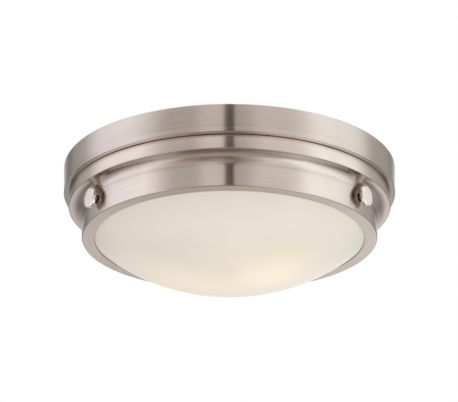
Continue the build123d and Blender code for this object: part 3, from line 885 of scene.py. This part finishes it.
class CEILING_LIGHT_OT_pan(bpy.types.Operator):
    """Spin the pan that lies against the ceiling"""

    bl_idname = "ceiling_light.pan"
    bl_label = "Ceiling Pan"

    def execute(self, context):
        size = sizes()
        waist = size.pan_radius - size.pan_waist_draw
        bm = spun_sheet(
            [
                (size.pan_radius - size.pan_rim_width, 0),
                (size.pan_radius, 0),
                (waist, PAN_LOW.z + size.pan_bead_height),
                (waist + size.pan_bead_swell, PAN_LOW.z),
                (size.bushing_radius + size.bushing_clearance, PAN_LOW.z),
            ],
            {1: size.pan_rim_bend, 2: size.pan_waist_bend, 3: size.pan_bead_bend},
            size.sheet,
        )
        paint_inside(bm)
        for face in bm.faces:
            if face.normal.z < -LOOKS_DOWN:
                face.material_index = THIRD
        # Painted shade on the pan's wall: the ring's nickel made darker
        outside = brushed_nickel("pan_nickel_painted_shade", PAN_PAINTED_SHADE)
        # Painted light on the front of the pan's underside, and painted shade towards its sides and back
        under = brushed_nickel("foot_nickel_painted_light_and_shade", 1.0, FOOT_PAINTED_LIGHT_AND_SHADE)
        finish_piece(bm, "pan_shell", "pan", ["ceiling_pan"], [outside, raw_nickel(), under])
        return {"FINISHED"}


class CEILING_LIGHT_OT_ring(bpy.types.Operator):
    """Spin the stepped ring that carries the glass"""

    bl_idname = "ceiling_light.ring"
    bl_label = "Glass Ring"

    def execute(self, context):
        size = sizes()
        outer, top = RING_HIGH.x, RING_HIGH.z
        neck, band_end = outer - size.cove_step, top - size.band_height
        bm = spun_sheet(
            [
                (outer - size.lip_width, top),
                (outer, top),
                (outer, band_end),
                (neck, band_end),
                (neck + size.neck_flare, RING_LOW.z),
                (neck - size.flange_width, RING_LOW.z),
            ],
            {1: size.sheet_bend, 2: size.sheet_bend, 3: size.cove_radius, 4: size.sheet_bend},
            size.sheet,
            segments=RING_SEGMENTS,
        )
        paint_inside(bm)
        outside = brushed_nickel("ring_nickel", 1.0)
        finish_piece(bm, "ring_shell", "ring", ["glass_ring"], [outside, raw_nickel()])
        return {"FINISHED"}


class CEILING_LIGHT_OT_bowl(bpy.types.Operator):
    """Blow the opal bowl with its flat rim"""

    bl_idname = "ceiling_light.bowl"
    bl_label = "Glass Bowl"

    def execute(self, context):
        wall, round_edge = sizes().bowl_wall, sizes().bowl_rim_round
        apex, seat, top, rim_radius = BOWL_LOW.z, GASKET_HIGH.z, BOWL_HIGH.z, BOWL_HIGH.x
        sphere, centre = bowl_sphere()
        bm = bmesh.new()
        outer, inner = bm.verts.new((0, 0, apex)), bm.verts.new((0, 0, apex + wall))
        foot = arc(bm, outer, (0, centre), -math.acos((centre - seat) / sphere), BOWL_STEPS)
        brim = arc(bm, inner, (0, centre), -math.acos((centre - top) / (sphere - wall)), BOWL_STEPS)
        rim = chain(bm, [(rim_radius, seat), (rim_radius, top)])
        bm.edges.new((foot, rim[0]))
        bm.edges.new((rim[1], brim))
        rounded(bm, rim, {0: round_edge, 1: round_edge})
        spin(bm)
        finish_piece(bm, "opal_bowl", "ring", ["glass_bowl"], [opal_glass()])
        return {"FINISHED"}


class CEILING_LIGHT_OT_gasket(bpy.types.Operator):
    """Lay the soft ring between the flange and the glass"""

    bl_idname = "ceiling_light.gasket"
    bl_label = "Glass Gasket"

    def execute(self, context):
        sphere, centre = bowl_sphere()
        edge = sizes().gasket_edge
        low, high = GASKET_LOW.z, GASKET_HIGH.z
        inner = math.sqrt(sphere**2 - (centre - high) ** 2) + edge
        outer = GASKET_HIGH.x
        corners = [(inner, low), (outer, low), (outer, high), (inner, high)]
        soft = {index: edge / 2 for index in range(4)}
        bm = turned_ring(corners, soft, AXIS_Z, RING_STEPS)
        rubber = moulded("silicone", colours().silicone, rough=0.5, scale=800.0)
        finish_piece(bm, "bowl_gasket", "ring", ["glass_gasket"], [rubber])
        return {"FINISHED"}


class CEILING_LIGHT_OT_collar(bpy.types.Operator):
    """Spin the painted collar that the thumb screws clamp"""

    bl_idname = "ceiling_light.collar"
    bl_label = "Fitter Collar"

    def execute(self, context):
        size = sizes()
        radius, top = COLLAR_HIGH.x, COLLAR_HIGH.z
        outline = [(radius - size.collar_flange, top), (radius, top), (radius, COLLAR_LOW.z)]
        bm = spun_sheet(outline, {1: size.collar_bend}, size.collar_sheet)
        enamel = moulded("enamel", colours().enamel, rough=0.32, scale=420.0, relief=0.00002, coat=0.4)
        finish_piece(bm, "painted_collar", "pan", ["fitter_collar"], [enamel])
        return {"FINISHED"}


class CEILING_LIGHT_OT_rivets(bpy.types.Operator):
    """Set the domed rivets of the collar and of the lamp brackets"""

    bl_idname = "ceiling_light.rivets"
    bl_label = "Rivets"

    def execute(self, context):
        size = sizes()
        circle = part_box("collar_rivets")[1].x - size.rivet_head
        turns = [Matrix.Rotation(math.tau * step / COLLAR_RIVETS, 4, "Z") for step in range(COLLAR_RIVETS)]
        places = [turn @ Matrix.Translation((circle, 0, 0)) for turn in turns]
        bm = copies(self.rivet(size.collar_sheet), places)
        finish_piece(bm, "collar_rivet_set", "pan", ["collar_rivets"], [zinc_plate()])
        reaches = (size.bracket_rivet_near, size.bracket_rivet_far)
        places = [
            Matrix.Rotation(turn, 4, "Z") @ Matrix.Translation((HOLDER_LOW.x - reach, LAMP_AXIS.y, 0))
            for turn in LAMP_TURNS.values()
            for reach in reaches
        ]
        bm = copies(self.rivet(size.strip), places)
        finish_piece(bm, "bracket_rivet_set", "pan", ["bracket_rivets"], [zinc_plate()])
        return {"FINISHED"}

    def rivet(self, grip):
        """Rivet through the pan and a sheet under it, on the vertical axis."""
        size = sizes()
        low, top = PAN_LOW.z - grip, PAN_LOW.z + size.sheet
        end = top + size.rivet_tail_height
        bm = bmesh.new()
        foot = dome(bm, low - size.rivet_head_height, (size.rivet_head, low))
        outline = [(size.rivet, low), (size.rivet, top), (size.rivet_tail, top), (size.rivet, end), (0, end)]
        shank = chain(bm, outline)
        bm.edges.new((foot, shank[0]))
        tail_rounds = {2: 0.2 * MM, 3: 0.4 * MM}
        rounded(bm, shank, tail_rounds, RIVET_SEGMENTS)
        spin(bm, AXIS_Z, TINY_STEPS)
        return bm


# The thumb screws


class CEILING_LIGHT_OT_thumb_screws(bpy.types.Operator):
    """Turn the three thumb screws with flat heads and threaded shanks"""

    bl_idname = "ceiling_light.thumb_screws"
    bl_label = "Thumb Screws"

    def execute(self, context):
        shine = polished_metal("knob_polish", colours().knob, rough=0.12, marks=(700.0, 700.0, 700.0))
        face = polished_metal("knob_face", colours().knob_face, rough=0.5, marks=(300.0, 300.0, 2400.0))
        back = mottled_metal("knob_back", colours().knob_back, scale=300.0, rough=(0.3, 0.45))
        metals = [shine, face, back]
        finish_each(self.screw(), at_screws(), "knob", "screw_{}", "thumb_screw", metals)
        return {"FINISHED"}

    def screw(self):
        """Head, stem and shank along the X axis."""
        size = sizes()
        tip, front, stem = SCREW_LOW.y, SCREW_HIGH.y, WASHER_HIGH.y + size.washer_gap
        back = front - size.knob_thickness
        head = (SCREW_HIGH.z - SCREW_LOW.z) / 2
        core, lead_in = size.screw_radius - size.screw_thread, tip + size.screw_thread
        outline = [
            (tip, 0),
            (tip, core - size.screw_thread),
            (lead_in, core),
            (stem, core),
            (stem, size.stem_radius),
            (back, size.stem_radius),
            (back, head - size.knob_back),
            (back + size.knob_back, head),
            (front - size.knob_chamfer, head),
            (front, head - size.knob_chamfer),
            (front, 0),
        ]
        rounds = {4: 0.25 * MM, 5: 0.35 * MM, 6: 0.2 * MM, 7: 0.2 * MM, 8: 0.12 * MM, 9: 0.12 * MM}
        bm = turned(outline, rounds)
        for side in bm.faces:
            if abs(side.normal.x) > LOOKS_ALONG:
                side.material_index = SECOND if side.normal.x > 0 else THIRD
        wind_thread(bm, lead_in, stem, size.screw_pitch, core, size.screw_radius, THUMB_THREAD_STEPS)
        return bm


class CEILING_LIGHT_OT_washers(bpy.types.Operator):
    """Cut the fibre washers under the thumb screws"""

    bl_idname = "ceiling_light.washers"
    bl_label = "Screw Washers"

    def execute(self, context):
        bore, outer = sizes().screw_radius + sizes().screw_clearance, (WASHER_HIGH.z - WASHER_LOW.z) / 2
        near, far = WASHER_LOW.y, WASHER_HIGH.y
        rounds = {1: 0.2 * MM, 2: 0.45 * MM}
        bm = turned_ring([(near, bore), (near, outer), (far, outer), (far, bore)], rounds)
        fibre = moulded("washer_fibre", colours().washer, rough=0.45, scale=900.0)
        finish_each(bm, at_screws(), "fibre_washer", "washer_{}", "screw_washer", [fibre])
        return {"FINISHED"}


class CEILING_LIGHT_OT_weld_nuts(bpy.types.Operator):
    """Weld the hexagon nuts inside the neck"""

    bl_idname = "ceiling_light.weld_nuts"
    bl_label = "Weld Nuts"

    def execute(self, context):
        size = sizes()
        bore = size.screw_radius + size.screw_clearance
        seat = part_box("weld_nuts")[1].y - size.nut_height
        upright = Matrix.Translation((seat, 0, 0)) @ LIE_DOWN
        edge = 0.35 * MM
        nut = hexagon(size.nut_flats, size.nut_height, bore, edge)
        bm = copies(nut, [matrix @ upright for matrix in at_screws().values()])
        finish_piece(bm, "neck_nuts", "ring", ["weld_nuts"], [zinc_plate()])
        return {"FINISHED"}


# The lamps and their holders


class CEILING_LIGHT_OT_brackets(bpy.types.Operator):
    """Bend the strips that carry the lamp holders"""

    bl_idname = "ceiling_light.brackets"
    bl_label = "Lamp Brackets"

    def execute(self, context):
        size = sizes()
        back, floor = HOLDER_LOW.x - LAMP_MOUTH, PAN_LOW.z - LAMP_AXIS.z
        tail, foot = BRACKET_LOW.z - LAMP_AXIS.z, BRACKET_LOW.x - LAMP_MOUTH
        edge = 0.25 * MM
        bm = bmesh.new()
        rounded(bm, chain(bm, [(back, tail), (back, floor), (foot, floor)]), {1: size.strip_bend})
        bent_strip(bm, BRACKET_HIGH.y - BRACKET_LOW.y, size.strip, edge)
        finish_each(bm, at_lamps(), "bent_bracket", "pan", "lamp_bracket", [zinc_plate()])
        return {"FINISHED"}


class CEILING_LIGHT_OT_holders(bpy.types.Operator):
    """Glaze the porcelain lamp holders"""

    bl_idname = "ceiling_light.holders"
    bl_label = "Lamp Holders"

    def execute(self, context):
        size = sizes()
        radius, back = (HOLDER_HIGH.y - HOLDER_LOW.y) / 2, HOLDER_LOW.x - LAMP_MOUTH
        floor, bore = SHELL_LOW.x - LAMP_MOUTH, (SHELL_HIGH.y - SHELL_LOW.y) / 2 + size.shell_gap
        body, edge, rim = radius - size.holder_taper, size.holder_edge, size.holder_rim
        outline = [
            (back, 0),
            (back, body),
            (-rim - size.holder_taper, body),
            (-rim, radius),
            (0, radius),
            (0, bore),
            (floor, bore),
            (floor, 0),
        ]
        bm = turned(outline, {1: edge, 2: 2 * edge, 3: edge, 4: edge, 5: edge})
        glaze = moulded("porcelain", colours().porcelain, rough=0.16, scale=300.0, relief=0.00002, coat=0.6)
        finish_each(bm, at_lamps(), "porcelain", "pan", "lamp_holder", [glaze])
        return {"FINISHED"}


class CEILING_LIGHT_OT_shells(bpy.types.Operator):
    """Roll the threaded brass shells inside the holders"""

    bl_idname = "ceiling_light.shells"
    bl_label = "Screw Shells"

    def execute(self, context):
        size = sizes()
        radius = (SHELL_HIGH.y - SHELL_LOW.y) / 2
        floor, mouth = SHELL_LOW.x - LAMP_MOUTH, SHELL_HIGH.x - LAMP_MOUTH
        inner, floor_top = radius - size.shell_sheet, floor + size.shell_sheet
        bore, crest, plain = size.shell_bore, inner - size.shell_thread, 1.0 * MM
        outline = [
            (floor, bore),
            (floor, radius),
            (mouth, radius),
            (mouth, inner),
            (floor_top, inner),
            (floor_top, bore),
        ]
        rounds = {1: 0.4 * MM, 4: 0.3 * MM}
        bm = turned_ring(outline, rounds)
        wind_thread(bm, floor_top + plain, mouth - plain, size.cap_pitch, inner, crest, CAP_THREAD_STEPS)
        finish_each(bm, at_lamps(), "brass_shell", "pan", "screw_shell", [brass()])
        return {"FINISHED"}


class CEILING_LIGHT_OT_contacts(bpy.types.Operator):
    """Bow the spring contacts on the floors of the holders"""

    bl_idname = "ceiling_light.contacts"
    bl_label = "Centre Contacts"

    def execute(self, context):
        leaf = sizes().contact_leaf
        foot, top = CONTACT_LOW.x + leaf - LAMP_MOUTH, CONTACT_HIGH.x - LAMP_MOUTH
        half, width = (CONTACT_HIGH.y - CONTACT_LOW.y) / 2, CONTACT_HIGH.z - CONTACT_LOW.z
        bow = (half**2 + (top - foot) ** 2) / (2 * (top - foot))
        edge = 0.1 * MM
        bm = bmesh.new()
        start = bm.verts.new((foot, 0, -half))
        arc(bm, start, (top - bow, 0), -2 * math.asin(half / bow), CONTACT_STEPS)
        bent_strip(bm, width, -leaf, edge)
        places = at_lamps(Matrix.Rotation(math.pi / 2, 4, "X"))
        finish_each(bm, places, "spring_contact", "pan", "centre_contact", [brass()])
        return {"FINISHED"}


class CEILING_LIGHT_OT_holder_screws(bpy.types.Operator):
    """Drive the screws that hold the lamp holders on their brackets"""

    bl_idname = "ceiling_light.holder_screws"
    bl_label = "Holder Screws"

    def execute(self, context):
        size = sizes()
        shank, head = size.holder_screw, size.holder_screw_head
        rise = size.holder_screw_head_height
        end = size.strip + size.holder_screw_depth
        outline = [(0, -rise), (head, -rise), (head, 0), (shank, 0), (shank, end), (0, end)]
        rounds = {1: 1.2 * MM, 4: 0.4 * MM}
        bm = turned(outline, rounds, AXIS_Z)
        arm, width, depth = 2 * MM, 0.9 * MM, 1.3 * MM
        cross_recess(bm, arm, width, depth, -rise)
        seat = Matrix.Translation((HOLDER_LOW.x - LAMP_MOUTH - size.strip, 0, 0))
        bm = copies(bm, at_lamps(seat @ LIE_DOWN).values())
        finish_piece(bm, "cross_screws", "pan", ["holder_screws"], [zinc_plate()])
        return {"FINISHED"}


class CEILING_LIGHT_OT_bulbs(bpy.types.Operator):
    """Blow the frosted glass of the lamps"""

    bl_idname = "ceiling_light.bulbs"
    bl_label = "Bulb Glasses"

    def execute(self, context):
        size = sizes()
        radius, neck = (BULB_HIGH.y - BULB_LOW.y) / 2, size.bulb_neck
        seat, neck_end = BULB_LOW.x - LAMP_MOUTH, size.bulb_neck_end
        centre = BULB_HIGH.x - LAMP_MOUTH - radius
        run = centre - neck_end
        flare = (run**2 / (radius - neck) - radius - neck) / 2
        lift = neck + flare
        bm = bmesh.new()
        start = chain(bm, [(seat, neck), (neck_end, neck)])[1]
        join = arc(bm, start, (neck_end, lift), -math.atan2(run, lift), FLARE_STEPS)
        arc(bm, join, (centre, 0), math.pi - math.atan2(join.co.z, centre - join.co.x), GLOBE_STEPS)
        spin(bm, AXIS_X, SMALL_STEPS)
        bmesh.ops.solidify(bm, geom=bm.faces[:], thickness=size.bulb_wall)
        glass = [frosted_bulb()]
        finish_each(bm, at_lamps(), "frosted_globe", "lamp_{}", "bulb_glass", glass)
        return {"FINISHED"}


class CEILING_LIGHT_OT_caps(bpy.types.Operator):
    """Roll the threaded metal caps of the lamps"""

    bl_idname = "ceiling_light.caps"
    bl_label = "Lamp Caps"

    def execute(self, context):
        size = sizes()
        radius = (CAP_HIGH.y - CAP_LOW.y) / 2
        start, end = CAP_LOW.x - LAMP_MOUTH, CAP_HIGH.x - LAMP_MOUTH
        core, sheet, shoulder = radius - size.cap_thread, size.cap_sheet, size.insulator_radius
        slope, skirt = start + radius - shoulder, start + size.cap_threaded
        skirt_end, inside = skirt + 1.0 * MM, start + 2 * sheet
        outline = [
            (start, size.tip_radius),
            (start, shoulder),
            (slope, core),
            (skirt, core),
            (skirt_end, radius),
            (end, radius),
            (end, radius - sheet),
            (skirt_end, radius - sheet),
            (skirt, core - sheet),
            (slope, core - sheet),
            (inside, shoulder - sheet),
            (inside, size.tip_radius),
        ]
        rounds = {1: 0.6 * MM, 2: 1.0 * MM, 3: 0.5 * MM, 4: 0.5 * MM}
        bm = turned_ring(outline, rounds)
        wind_thread(bm, slope, skirt, size.cap_pitch, core, radius, CAP_THREAD_STEPS)
        metal = polished_metal("cap_metal", colours().aluminium, rough=0.3, marks=(260.0, 260.0, 260.0))
        finish_each(bm, at_lamps(), "threaded_cap", "lamp_{}", "bulb_cap", [metal])
        return {"FINISHED"}


class CEILING_LIGHT_OT_tips(bpy.types.Operator):
    """Mould the insulators of the lamps and solder their tip contacts"""

    bl_idname = "ceiling_light.tips"
    bl_label = "Insulators and Tips"

    def execute(self, context):
        size = sizes()
        apex, foot, cap = (end - LAMP_MOUTH for end in (TIP_LOW.x, TIP_HIGH.x, CAP_LOW.x))
        tip, shoulder = size.tip_radius, size.insulator_radius
        glass = moulded("black_glass", colours().black, rough=0.2, scale=500.0)
        solder = mottled_metal("solder", colours().zinc, scale=700.0, rough=(0.2, 0.4))
        rounds = {1: 0.4 * MM}
        bm = turned([(foot, 0), (foot, tip), (cap, shoulder), (cap, 0)], rounds)
        finish_each(bm, at_lamps(), "black_insulator", "lamp_{}", "bulb_insulator", [glass])
        bm = bmesh.new()
        rim = dome(bm, apex, (tip, foot))
        bm.edges.new((rim, bm.verts.new((0, 0, foot))))
        spin(bm, AXIS_Z, TINY_STEPS)
        finish_each(bm, at_lamps(LIE_DOWN), "solder_tip", "lamp_{}", "bulb_tip", [solder])
        return {"FINISHED"}


# What lies in the pan's recess


class CEILING_LIGHT_OT_bushing(bpy.types.Operator):
    """Mould the bushing that the leads pass through"""

    bl_idname = "ceiling_light.bushing"
    bl_label = "Wire Bushing"

    def execute(self, context):
        size = sizes()
        bore, body, barb, flange = size.bushing_bore, size.bushing_radius, size.bushing_barb, BUSHING_HIGH.x
        low, sheet_low, top = BUSHING_LOW.z, PAN_LOW.z, BUSHING_HIGH.z
        sheet_top = sheet_low + size.sheet
        outline = [
            (bore, low),
            (flange, low),
            (flange, sheet_low),
            (body, sheet_low),
            (body, sheet_top),
            (body + barb, sheet_top),
            (body - barb, top),
            (bore, top),
        ]
        rounds = {0: 0.7 * MM, 1: 0.7 * MM, 5: 0.15 * MM, 6: 0.3 * MM, 7: 0.5 * MM}
        bm = turned_ring(outline, rounds, AXIS_Z)
        plastic = moulded("bushing_nylon", colours().black, rough=0.4, scale=900.0)
        finish_piece(bm, "snap_bushing", "pan", ["wire_bushing"], [plastic])
        return {"FINISHED"}


class CEILING_LIGHT_OT_connectors(bpy.types.Operator):
    """Mould the ribbed twist-on connectors"""

    bl_idname = "ceiling_light.connectors"
    bl_label = "Wire Connectors"

    def execute(self, context):
        size = sizes()
        mouth, end = size.connector_start, CONNECTOR_HIGH.x
        wide, narrow = (CONNECTOR_HIGH.z - CONNECTOR_LOW.z) / 2, size.connector_end
        bore, depth = size.connector_bore, mouth + size.connector_depth
        outline = [(depth, 0), (depth, bore), (mouth, bore), (mouth, wide), (end, narrow), (end, 0)]
        rounds = {3: 0.5 * MM, 4: 1.2 * MM}
        bm = turned(outline, rounds, steps=CONNECTOR_STEPS)
        aside = [face for face in bm.faces if face.normal.yz.length > LOOKS_ASIDE]
        outside = [face for face in aside if face.normal.yz.dot(side_of(face)) > 0]
        half = (end - mouth) / 2
        sides = [face for face in outside if max(edge.calc_length() for edge in face.edges) > half]
        step = math.tau / CONNECTOR_STEPS
        grooves = [face for face in sides if round(math.atan2(*side_of(face)) / step - 0.5) % 2]
        land, groove_depth = 0.08 * MM, 0.3 * MM
        bmesh.ops.inset_individual(bm, faces=grooves, thickness=land, depth=-groove_depth)
        level = Matrix.Translation((0, 0, (CONNECTOR_LOW.z + CONNECTOR_HIGH.z) / 2))
        bm = copies(bm, [Matrix.Rotation(turn, 4, "Z") @ level for turn in LAMP_TURNS.values()])
        plastic = moulded("connector_plastic", colours().connector, rough=0.38, scale=700.0)
        finish_piece(bm, "ribbed_connectors", "pan", ["wire_connectors"], [plastic])
        return {"FINISHED"}


class CEILING_LIGHT_OT_leads(bpy.types.Operator):
    """Sleeve the leads between the holders and the connectors"""

    bl_idname = "ceiling_light.leads"
    bl_label = "Leads"

    def execute(self, context):
        black = moulded("black_sleeve", colours().black, rough=0.42, scale=1100.0)
        white = moulded("white_sleeve", colours().white, rough=0.42, scale=1100.0)
        for name in LAMP_TURNS:
            dress_node(f"lead_live_{name}", black)
            dress_node(f"lead_neutral_{name}", white)
        return {"FINISHED"}


class CEILING_LIGHT_OT_mounting(bpy.types.Operator):
    """Finish the strap and drive the screws that hang the pan from it"""

    bl_idname = "ceiling_light.mounting"
    bl_label = "Mounting Strap and Screws"

    def execute(self, context):
        dress_node("mounting_strap", zinc_plate())
        size = sizes()
        head = (MOUNTING_HIGH.x - MOUNTING_LOW.x) / 2
        core = size.mounting_screw - size.mounting_thread
        low, seat, top = MOUNTING_LOW.z, PAN_LOW.z, MOUNTING_HIGH.z
        outline = [(0, low), (head, low), (head, seat), (core, seat), (core, top), (0, top)]
        rounds = {1: 1.4 * MM, 4: 0.3 * MM}
        bm = turned(outline, rounds, AXIS_Z)
        arm, width, depth = 2.3 * MM, 1.0 * MM, 1.6 * MM
        cross_recess(bm, arm, width, depth, low)
        plain, tip = 0.5 * MM, 0.3 * MM
        stand_thread(bm, seat + plain, top - tip)
        spread = MOUNTING_HIGH.y - head
        bm = copies(bm, [Matrix.Translation((0, side * spread, 0)) for side in (1, -1)])
        finish_piece(bm, "pan_screws", "pan", ["mounting_screws"], [zinc_plate()])
        return {"FINISHED"}


class CEILING_LIGHT_OT_ground_screw(bpy.types.Operator):
    """Drive the green ground screw into the strap"""

    bl_idname = "ceiling_light.ground_screw"
    bl_label = "Ground Screw"

    def execute(self, context):
        size = sizes()
        strap_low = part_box("mounting_strap")[0].z
        height, core = size.ground_head_height, size.mounting_screw - size.mounting_thread
        centre = (GROUND_LOW + GROUND_HIGH) / 2
        flats = GROUND_HIGH.y - GROUND_LOW.y
        edge = 0.4 * MM
        bm = moved(hexagon(flats, height, 0.0, edge), Matrix.Translation((0, 0, -height)))
        tip, tail = GROUND_LOW.z - strap_low, GROUND_HIGH.z - strap_low
        for low, high in ((tip, -height), (0, tail)):
            shank = turned([(low, 0), (low, core), (high, core), (high, 0)])
            add_mesh(bm, shank, STAND_UP)
            shank.free()
        stand_thread(bm, tip, -height)
        moved(bm, Matrix.Translation((centre.x, centre.y, strap_low)))
        green = mottled_metal("green_plate", colours().ground, scale=300.0, rough=(0.3, 0.42))
        finish_piece(bm, "green_screw", "pan", ["ground_screw"], [green])
        return {"FINISHED"}


class CEILING_LIGHT_OT_pad(bpy.types.Operator):
    """Lay the soft ring of glass fibre on the pan's floor"""

    bl_idname = "ceiling_light.pad"
    bl_label = "Insulation Pad"

    def execute(self, context):
        size = sizes()
        inner, outer, low, high = size.pad_inner, PAD_HIGH.x, PAD_LOW.z, PAD_HIGH.z
        bm = bmesh.new()
        corners = loop(bm, [(inner, low), (outer, low), (outer, high), (inner, high)])
        rounded(bm, corners, {index: size.pad_round for index in range(4)})
        flats = [edge for edge in bm.edges if edge.calc_length() > 2 * size.pad_round]
        bmesh.ops.subdivide_edges(bm, edges=flats, cuts=PAD_CUTS)
        spin(bm)
        self.ruffle(bm, size.pad_ruffle)
        pad = finish_piece(bm, "fibre_pad", "pan", ["insulation_pad"], [fibre_mat()])
        return {"FINISHED"}

    def ruffle(self, bm, depth):
        """Sink the surface unevenly, never out of its even shape, and leave its underside flat."""
        bm.normal_update()
        for vert in bm.verts:
            broad = noise.noise(vert.co * BROAD_WAVES)
            fine = noise.noise(vert.co * FINE_WAVES + FINE_SHIFT)
            share = min(1.0, max(0.0, EVEN_SHARE + BROAD_SHARE * broad + FINE_SHARE * fine))
            loose = min(1.0, max(0.0, vert.normal.z + 1))
            vert.co -= vert.normal * depth * share * loose


# The stage


class CEILING_LIGHT_OT_stage(bpy.types.Operator):
    """Lay the floor, light the studio and place the camera"""

    bl_idname = "ceiling_light.stage"
    bl_label = "Stage"

    def execute(self, context):
        stage = context.scene.ceiling_light_stage
        self.floor(context, stage)
        self.light(context, stage)
        self.camera(context, stage)
        context.scene.view_settings.view_transform = "Standard"
        return {"FINISHED"}

    def floor(self, context, stage):
        """Wide pale floor far under the light."""
        bm = bmesh.new()
        bmesh.ops.create_circle(bm, segments=RING_STEPS, radius=stage.floor_radius, cap_ends=True)
        bmesh.ops.translate(bm, vec=(0, 0, -stage.floor_drop), verts=bm.verts)
        mesh = bpy.data.meshes.new("studio_floor")
        bm.to_mesh(mesh)
        bm.free()
        material, tree, shader = new_material("pale_floor")
        cloud = grain(tree, place(tree), 0.6, 3.0)
        fill(tree, shader, {"Base Color": tint(tree, cloud, colours().floor, 0.97, 1.03), "Roughness": 0.8})
        mesh.materials.append(material)
        floor = bpy.data.objects.new("studio_floor", mesh)
        context.scene.collection.objects.link(floor)

    def light(self, context, stage):
        """Surround the light with soft panels, and show the camera itself plain white."""
        world = bpy.data.worlds.new("studio")
        context.scene.world = world
        world.use_nodes = True
        tree = world.node_tree
        tree.nodes.clear()
        direction = add(tree, "ShaderNodeTexCoord").outputs["Generated"]
        parts = add(tree, "ShaderNodeSeparateXYZ", {0: direction}).outputs
        up = parts["Z"]
        azimuth = calc(tree, "ARCTAN2", parts["X"], calc(tree, "MULTIPLY", parts["Y"], -1.0))
        light = scaled(tree, NEUTRAL, between(tree, up, 0.0, stage.overhead, OVERHEAD_START, OVERHEAD_END))
        for panel in PANELS:
            light = added(tree, light, self.panel_light(tree, azimuth, *panel))
        slope = calc(tree, "MAXIMUM", between(tree, up, *UPPER_FADE), between(tree, up, *LOWER_FADE))
        light = scaled(tree, light, slope)
        for panel, fade in SHADES:
            shade = self.panel_light(tree, azimuth, *panel)
            light = added(tree, light, scaled(tree, shade, between(tree, up, *fade)))
        from_gap = calc(tree, "SUBTRACT", azimuth, GAP_TURN)
        squeezed = calc(tree, "MULTIPLY", from_gap, between(tree, up, *GAP_NARROWING))
        gap = self.panel_light(tree, squeezed, *FRONT_GAP)
        light = added(tree, light, scaled(tree, gap, between(tree, up, *GAP_FADE)))
        light = vector_calc(tree, "MAXIMUM", light, (0, 0, 0))[0]
        studio = add(tree, "ShaderNodeBackground", {"Color": light, "Strength": 1.0}).outputs[0]
        white = add(tree, "ShaderNodeBackground", {"Color": (1, 1, 1, 1), "Strength": 1.0}).outputs[0]
        seen = add(tree, "ShaderNodeLightPath").outputs["Is Camera Ray"]
        mixed = add(tree, "ShaderNodeMixShader", {0: seen, 1: studio, 2: white}).outputs[0]
        add(tree, "ShaderNodeOutputWorld", {"Surface": mixed})

    def panel_light(self, tree, azimuth, centre, core, reach, level, shade):
        """Light of one panel by azimuth: even over its core, and fading out to its reach."""
        turn = calc(tree, "WRAP", calc(tree, "SUBTRACT", azimuth, math.radians(centre)), math.pi, -math.pi)
        fade = level, 0.0, math.radians(core), math.radians(reach)
        share = between(tree, calc(tree, "ABSOLUTE", turn), *fade, interpolation_type="SMOOTHSTEP")
        return scaled(tree, shade, share)

    def camera(self, context, stage):
        """Camera below the ceiling, at the photograph's viewing angle."""
        data = bpy.data.cameras.new("photo_camera")
        data.lens = stage.lens
        camera = bpy.data.objects.new("photo_camera", data)
        context.scene.collection.objects.link(camera)
        turn = Matrix.Rotation(stage.camera_turn, 3, "Z")
        camera.location = turn @ Vector((0, -stage.camera_distance, -stage.camera_drop))
        aim = Vector((-stage.aim_left, 0, -stage.aim_drop))
        camera.rotation_euler = (aim - camera.location).to_track_quat("-Z", "Y").to_euler()
        context.scene.camera = camera


# The panel in the sidebar and the run


PIECES = (
    CEILING_LIGHT_OT_pan,
    CEILING_LIGHT_OT_ring,
    CEILING_LIGHT_OT_bowl,
    CEILING_LIGHT_OT_gasket,
    CEILING_LIGHT_OT_collar,
    CEILING_LIGHT_OT_rivets,
    CEILING_LIGHT_OT_thumb_screws,
    CEILING_LIGHT_OT_washers,
    CEILING_LIGHT_OT_weld_nuts,
    CEILING_LIGHT_OT_brackets,
    CEILING_LIGHT_OT_holders,
    CEILING_LIGHT_OT_shells,
    CEILING_LIGHT_OT_contacts,
    CEILING_LIGHT_OT_holder_screws,
    CEILING_LIGHT_OT_bulbs,
    CEILING_LIGHT_OT_caps,
    CEILING_LIGHT_OT_tips,
    CEILING_LIGHT_OT_bushing,
    CEILING_LIGHT_OT_connectors,
    CEILING_LIGHT_OT_leads,
    CEILING_LIGHT_OT_mounting,
    CEILING_LIGHT_OT_ground_screw,
    CEILING_LIGHT_OT_pad,
    CEILING_LIGHT_OT_stage,
)
GROUPS = {
    "ceiling_light_sizes": CeilingLightSizes,
    "ceiling_light_colours": CeilingLightColours,
    "ceiling_light_stage": CeilingLightStage,
}


class CEILING_LIGHT_PT_panel(bpy.types.Panel):
    """Lists the pieces of the light and what can be changed on them"""

    bl_idname = "CEILING_LIGHT_PT_panel"
    bl_label = "Ceiling Light"
    bl_space_type = "VIEW_3D"
    bl_region_type = "UI"
    bl_category = "Ceiling Light"

    def draw(self, context):
        for piece in PIECES:
            self.layout.operator(piece.bl_idname)
        for name, group in GROUPS.items():
            box = self.layout.box()
            for key in group.__annotations__:
                box.prop(getattr(context.scene, name), key)


def register():
    for kind in (*GROUPS.values(), *PIECES, CEILING_LIGHT_PT_panel):
        bpy.utils.register_class(kind)
    for name, group in GROUPS.items():
        setattr(bpy.types.Scene, name, bpy.props.PointerProperty(type=group))


def unregister():
    for name in GROUPS:
        delattr(bpy.types.Scene, name)
    for kind in (CEILING_LIGHT_PT_panel, *reversed(PIECES), *reversed(GROUPS.values())):
        bpy.utils.unregister_class(kind)


def main():
    register()
    for piece in PIECES:
        section, name = piece.bl_idname.split(".")
        getattr(getattr(bpy.ops, section), name)()


if __name__ == "__main__":
    main()
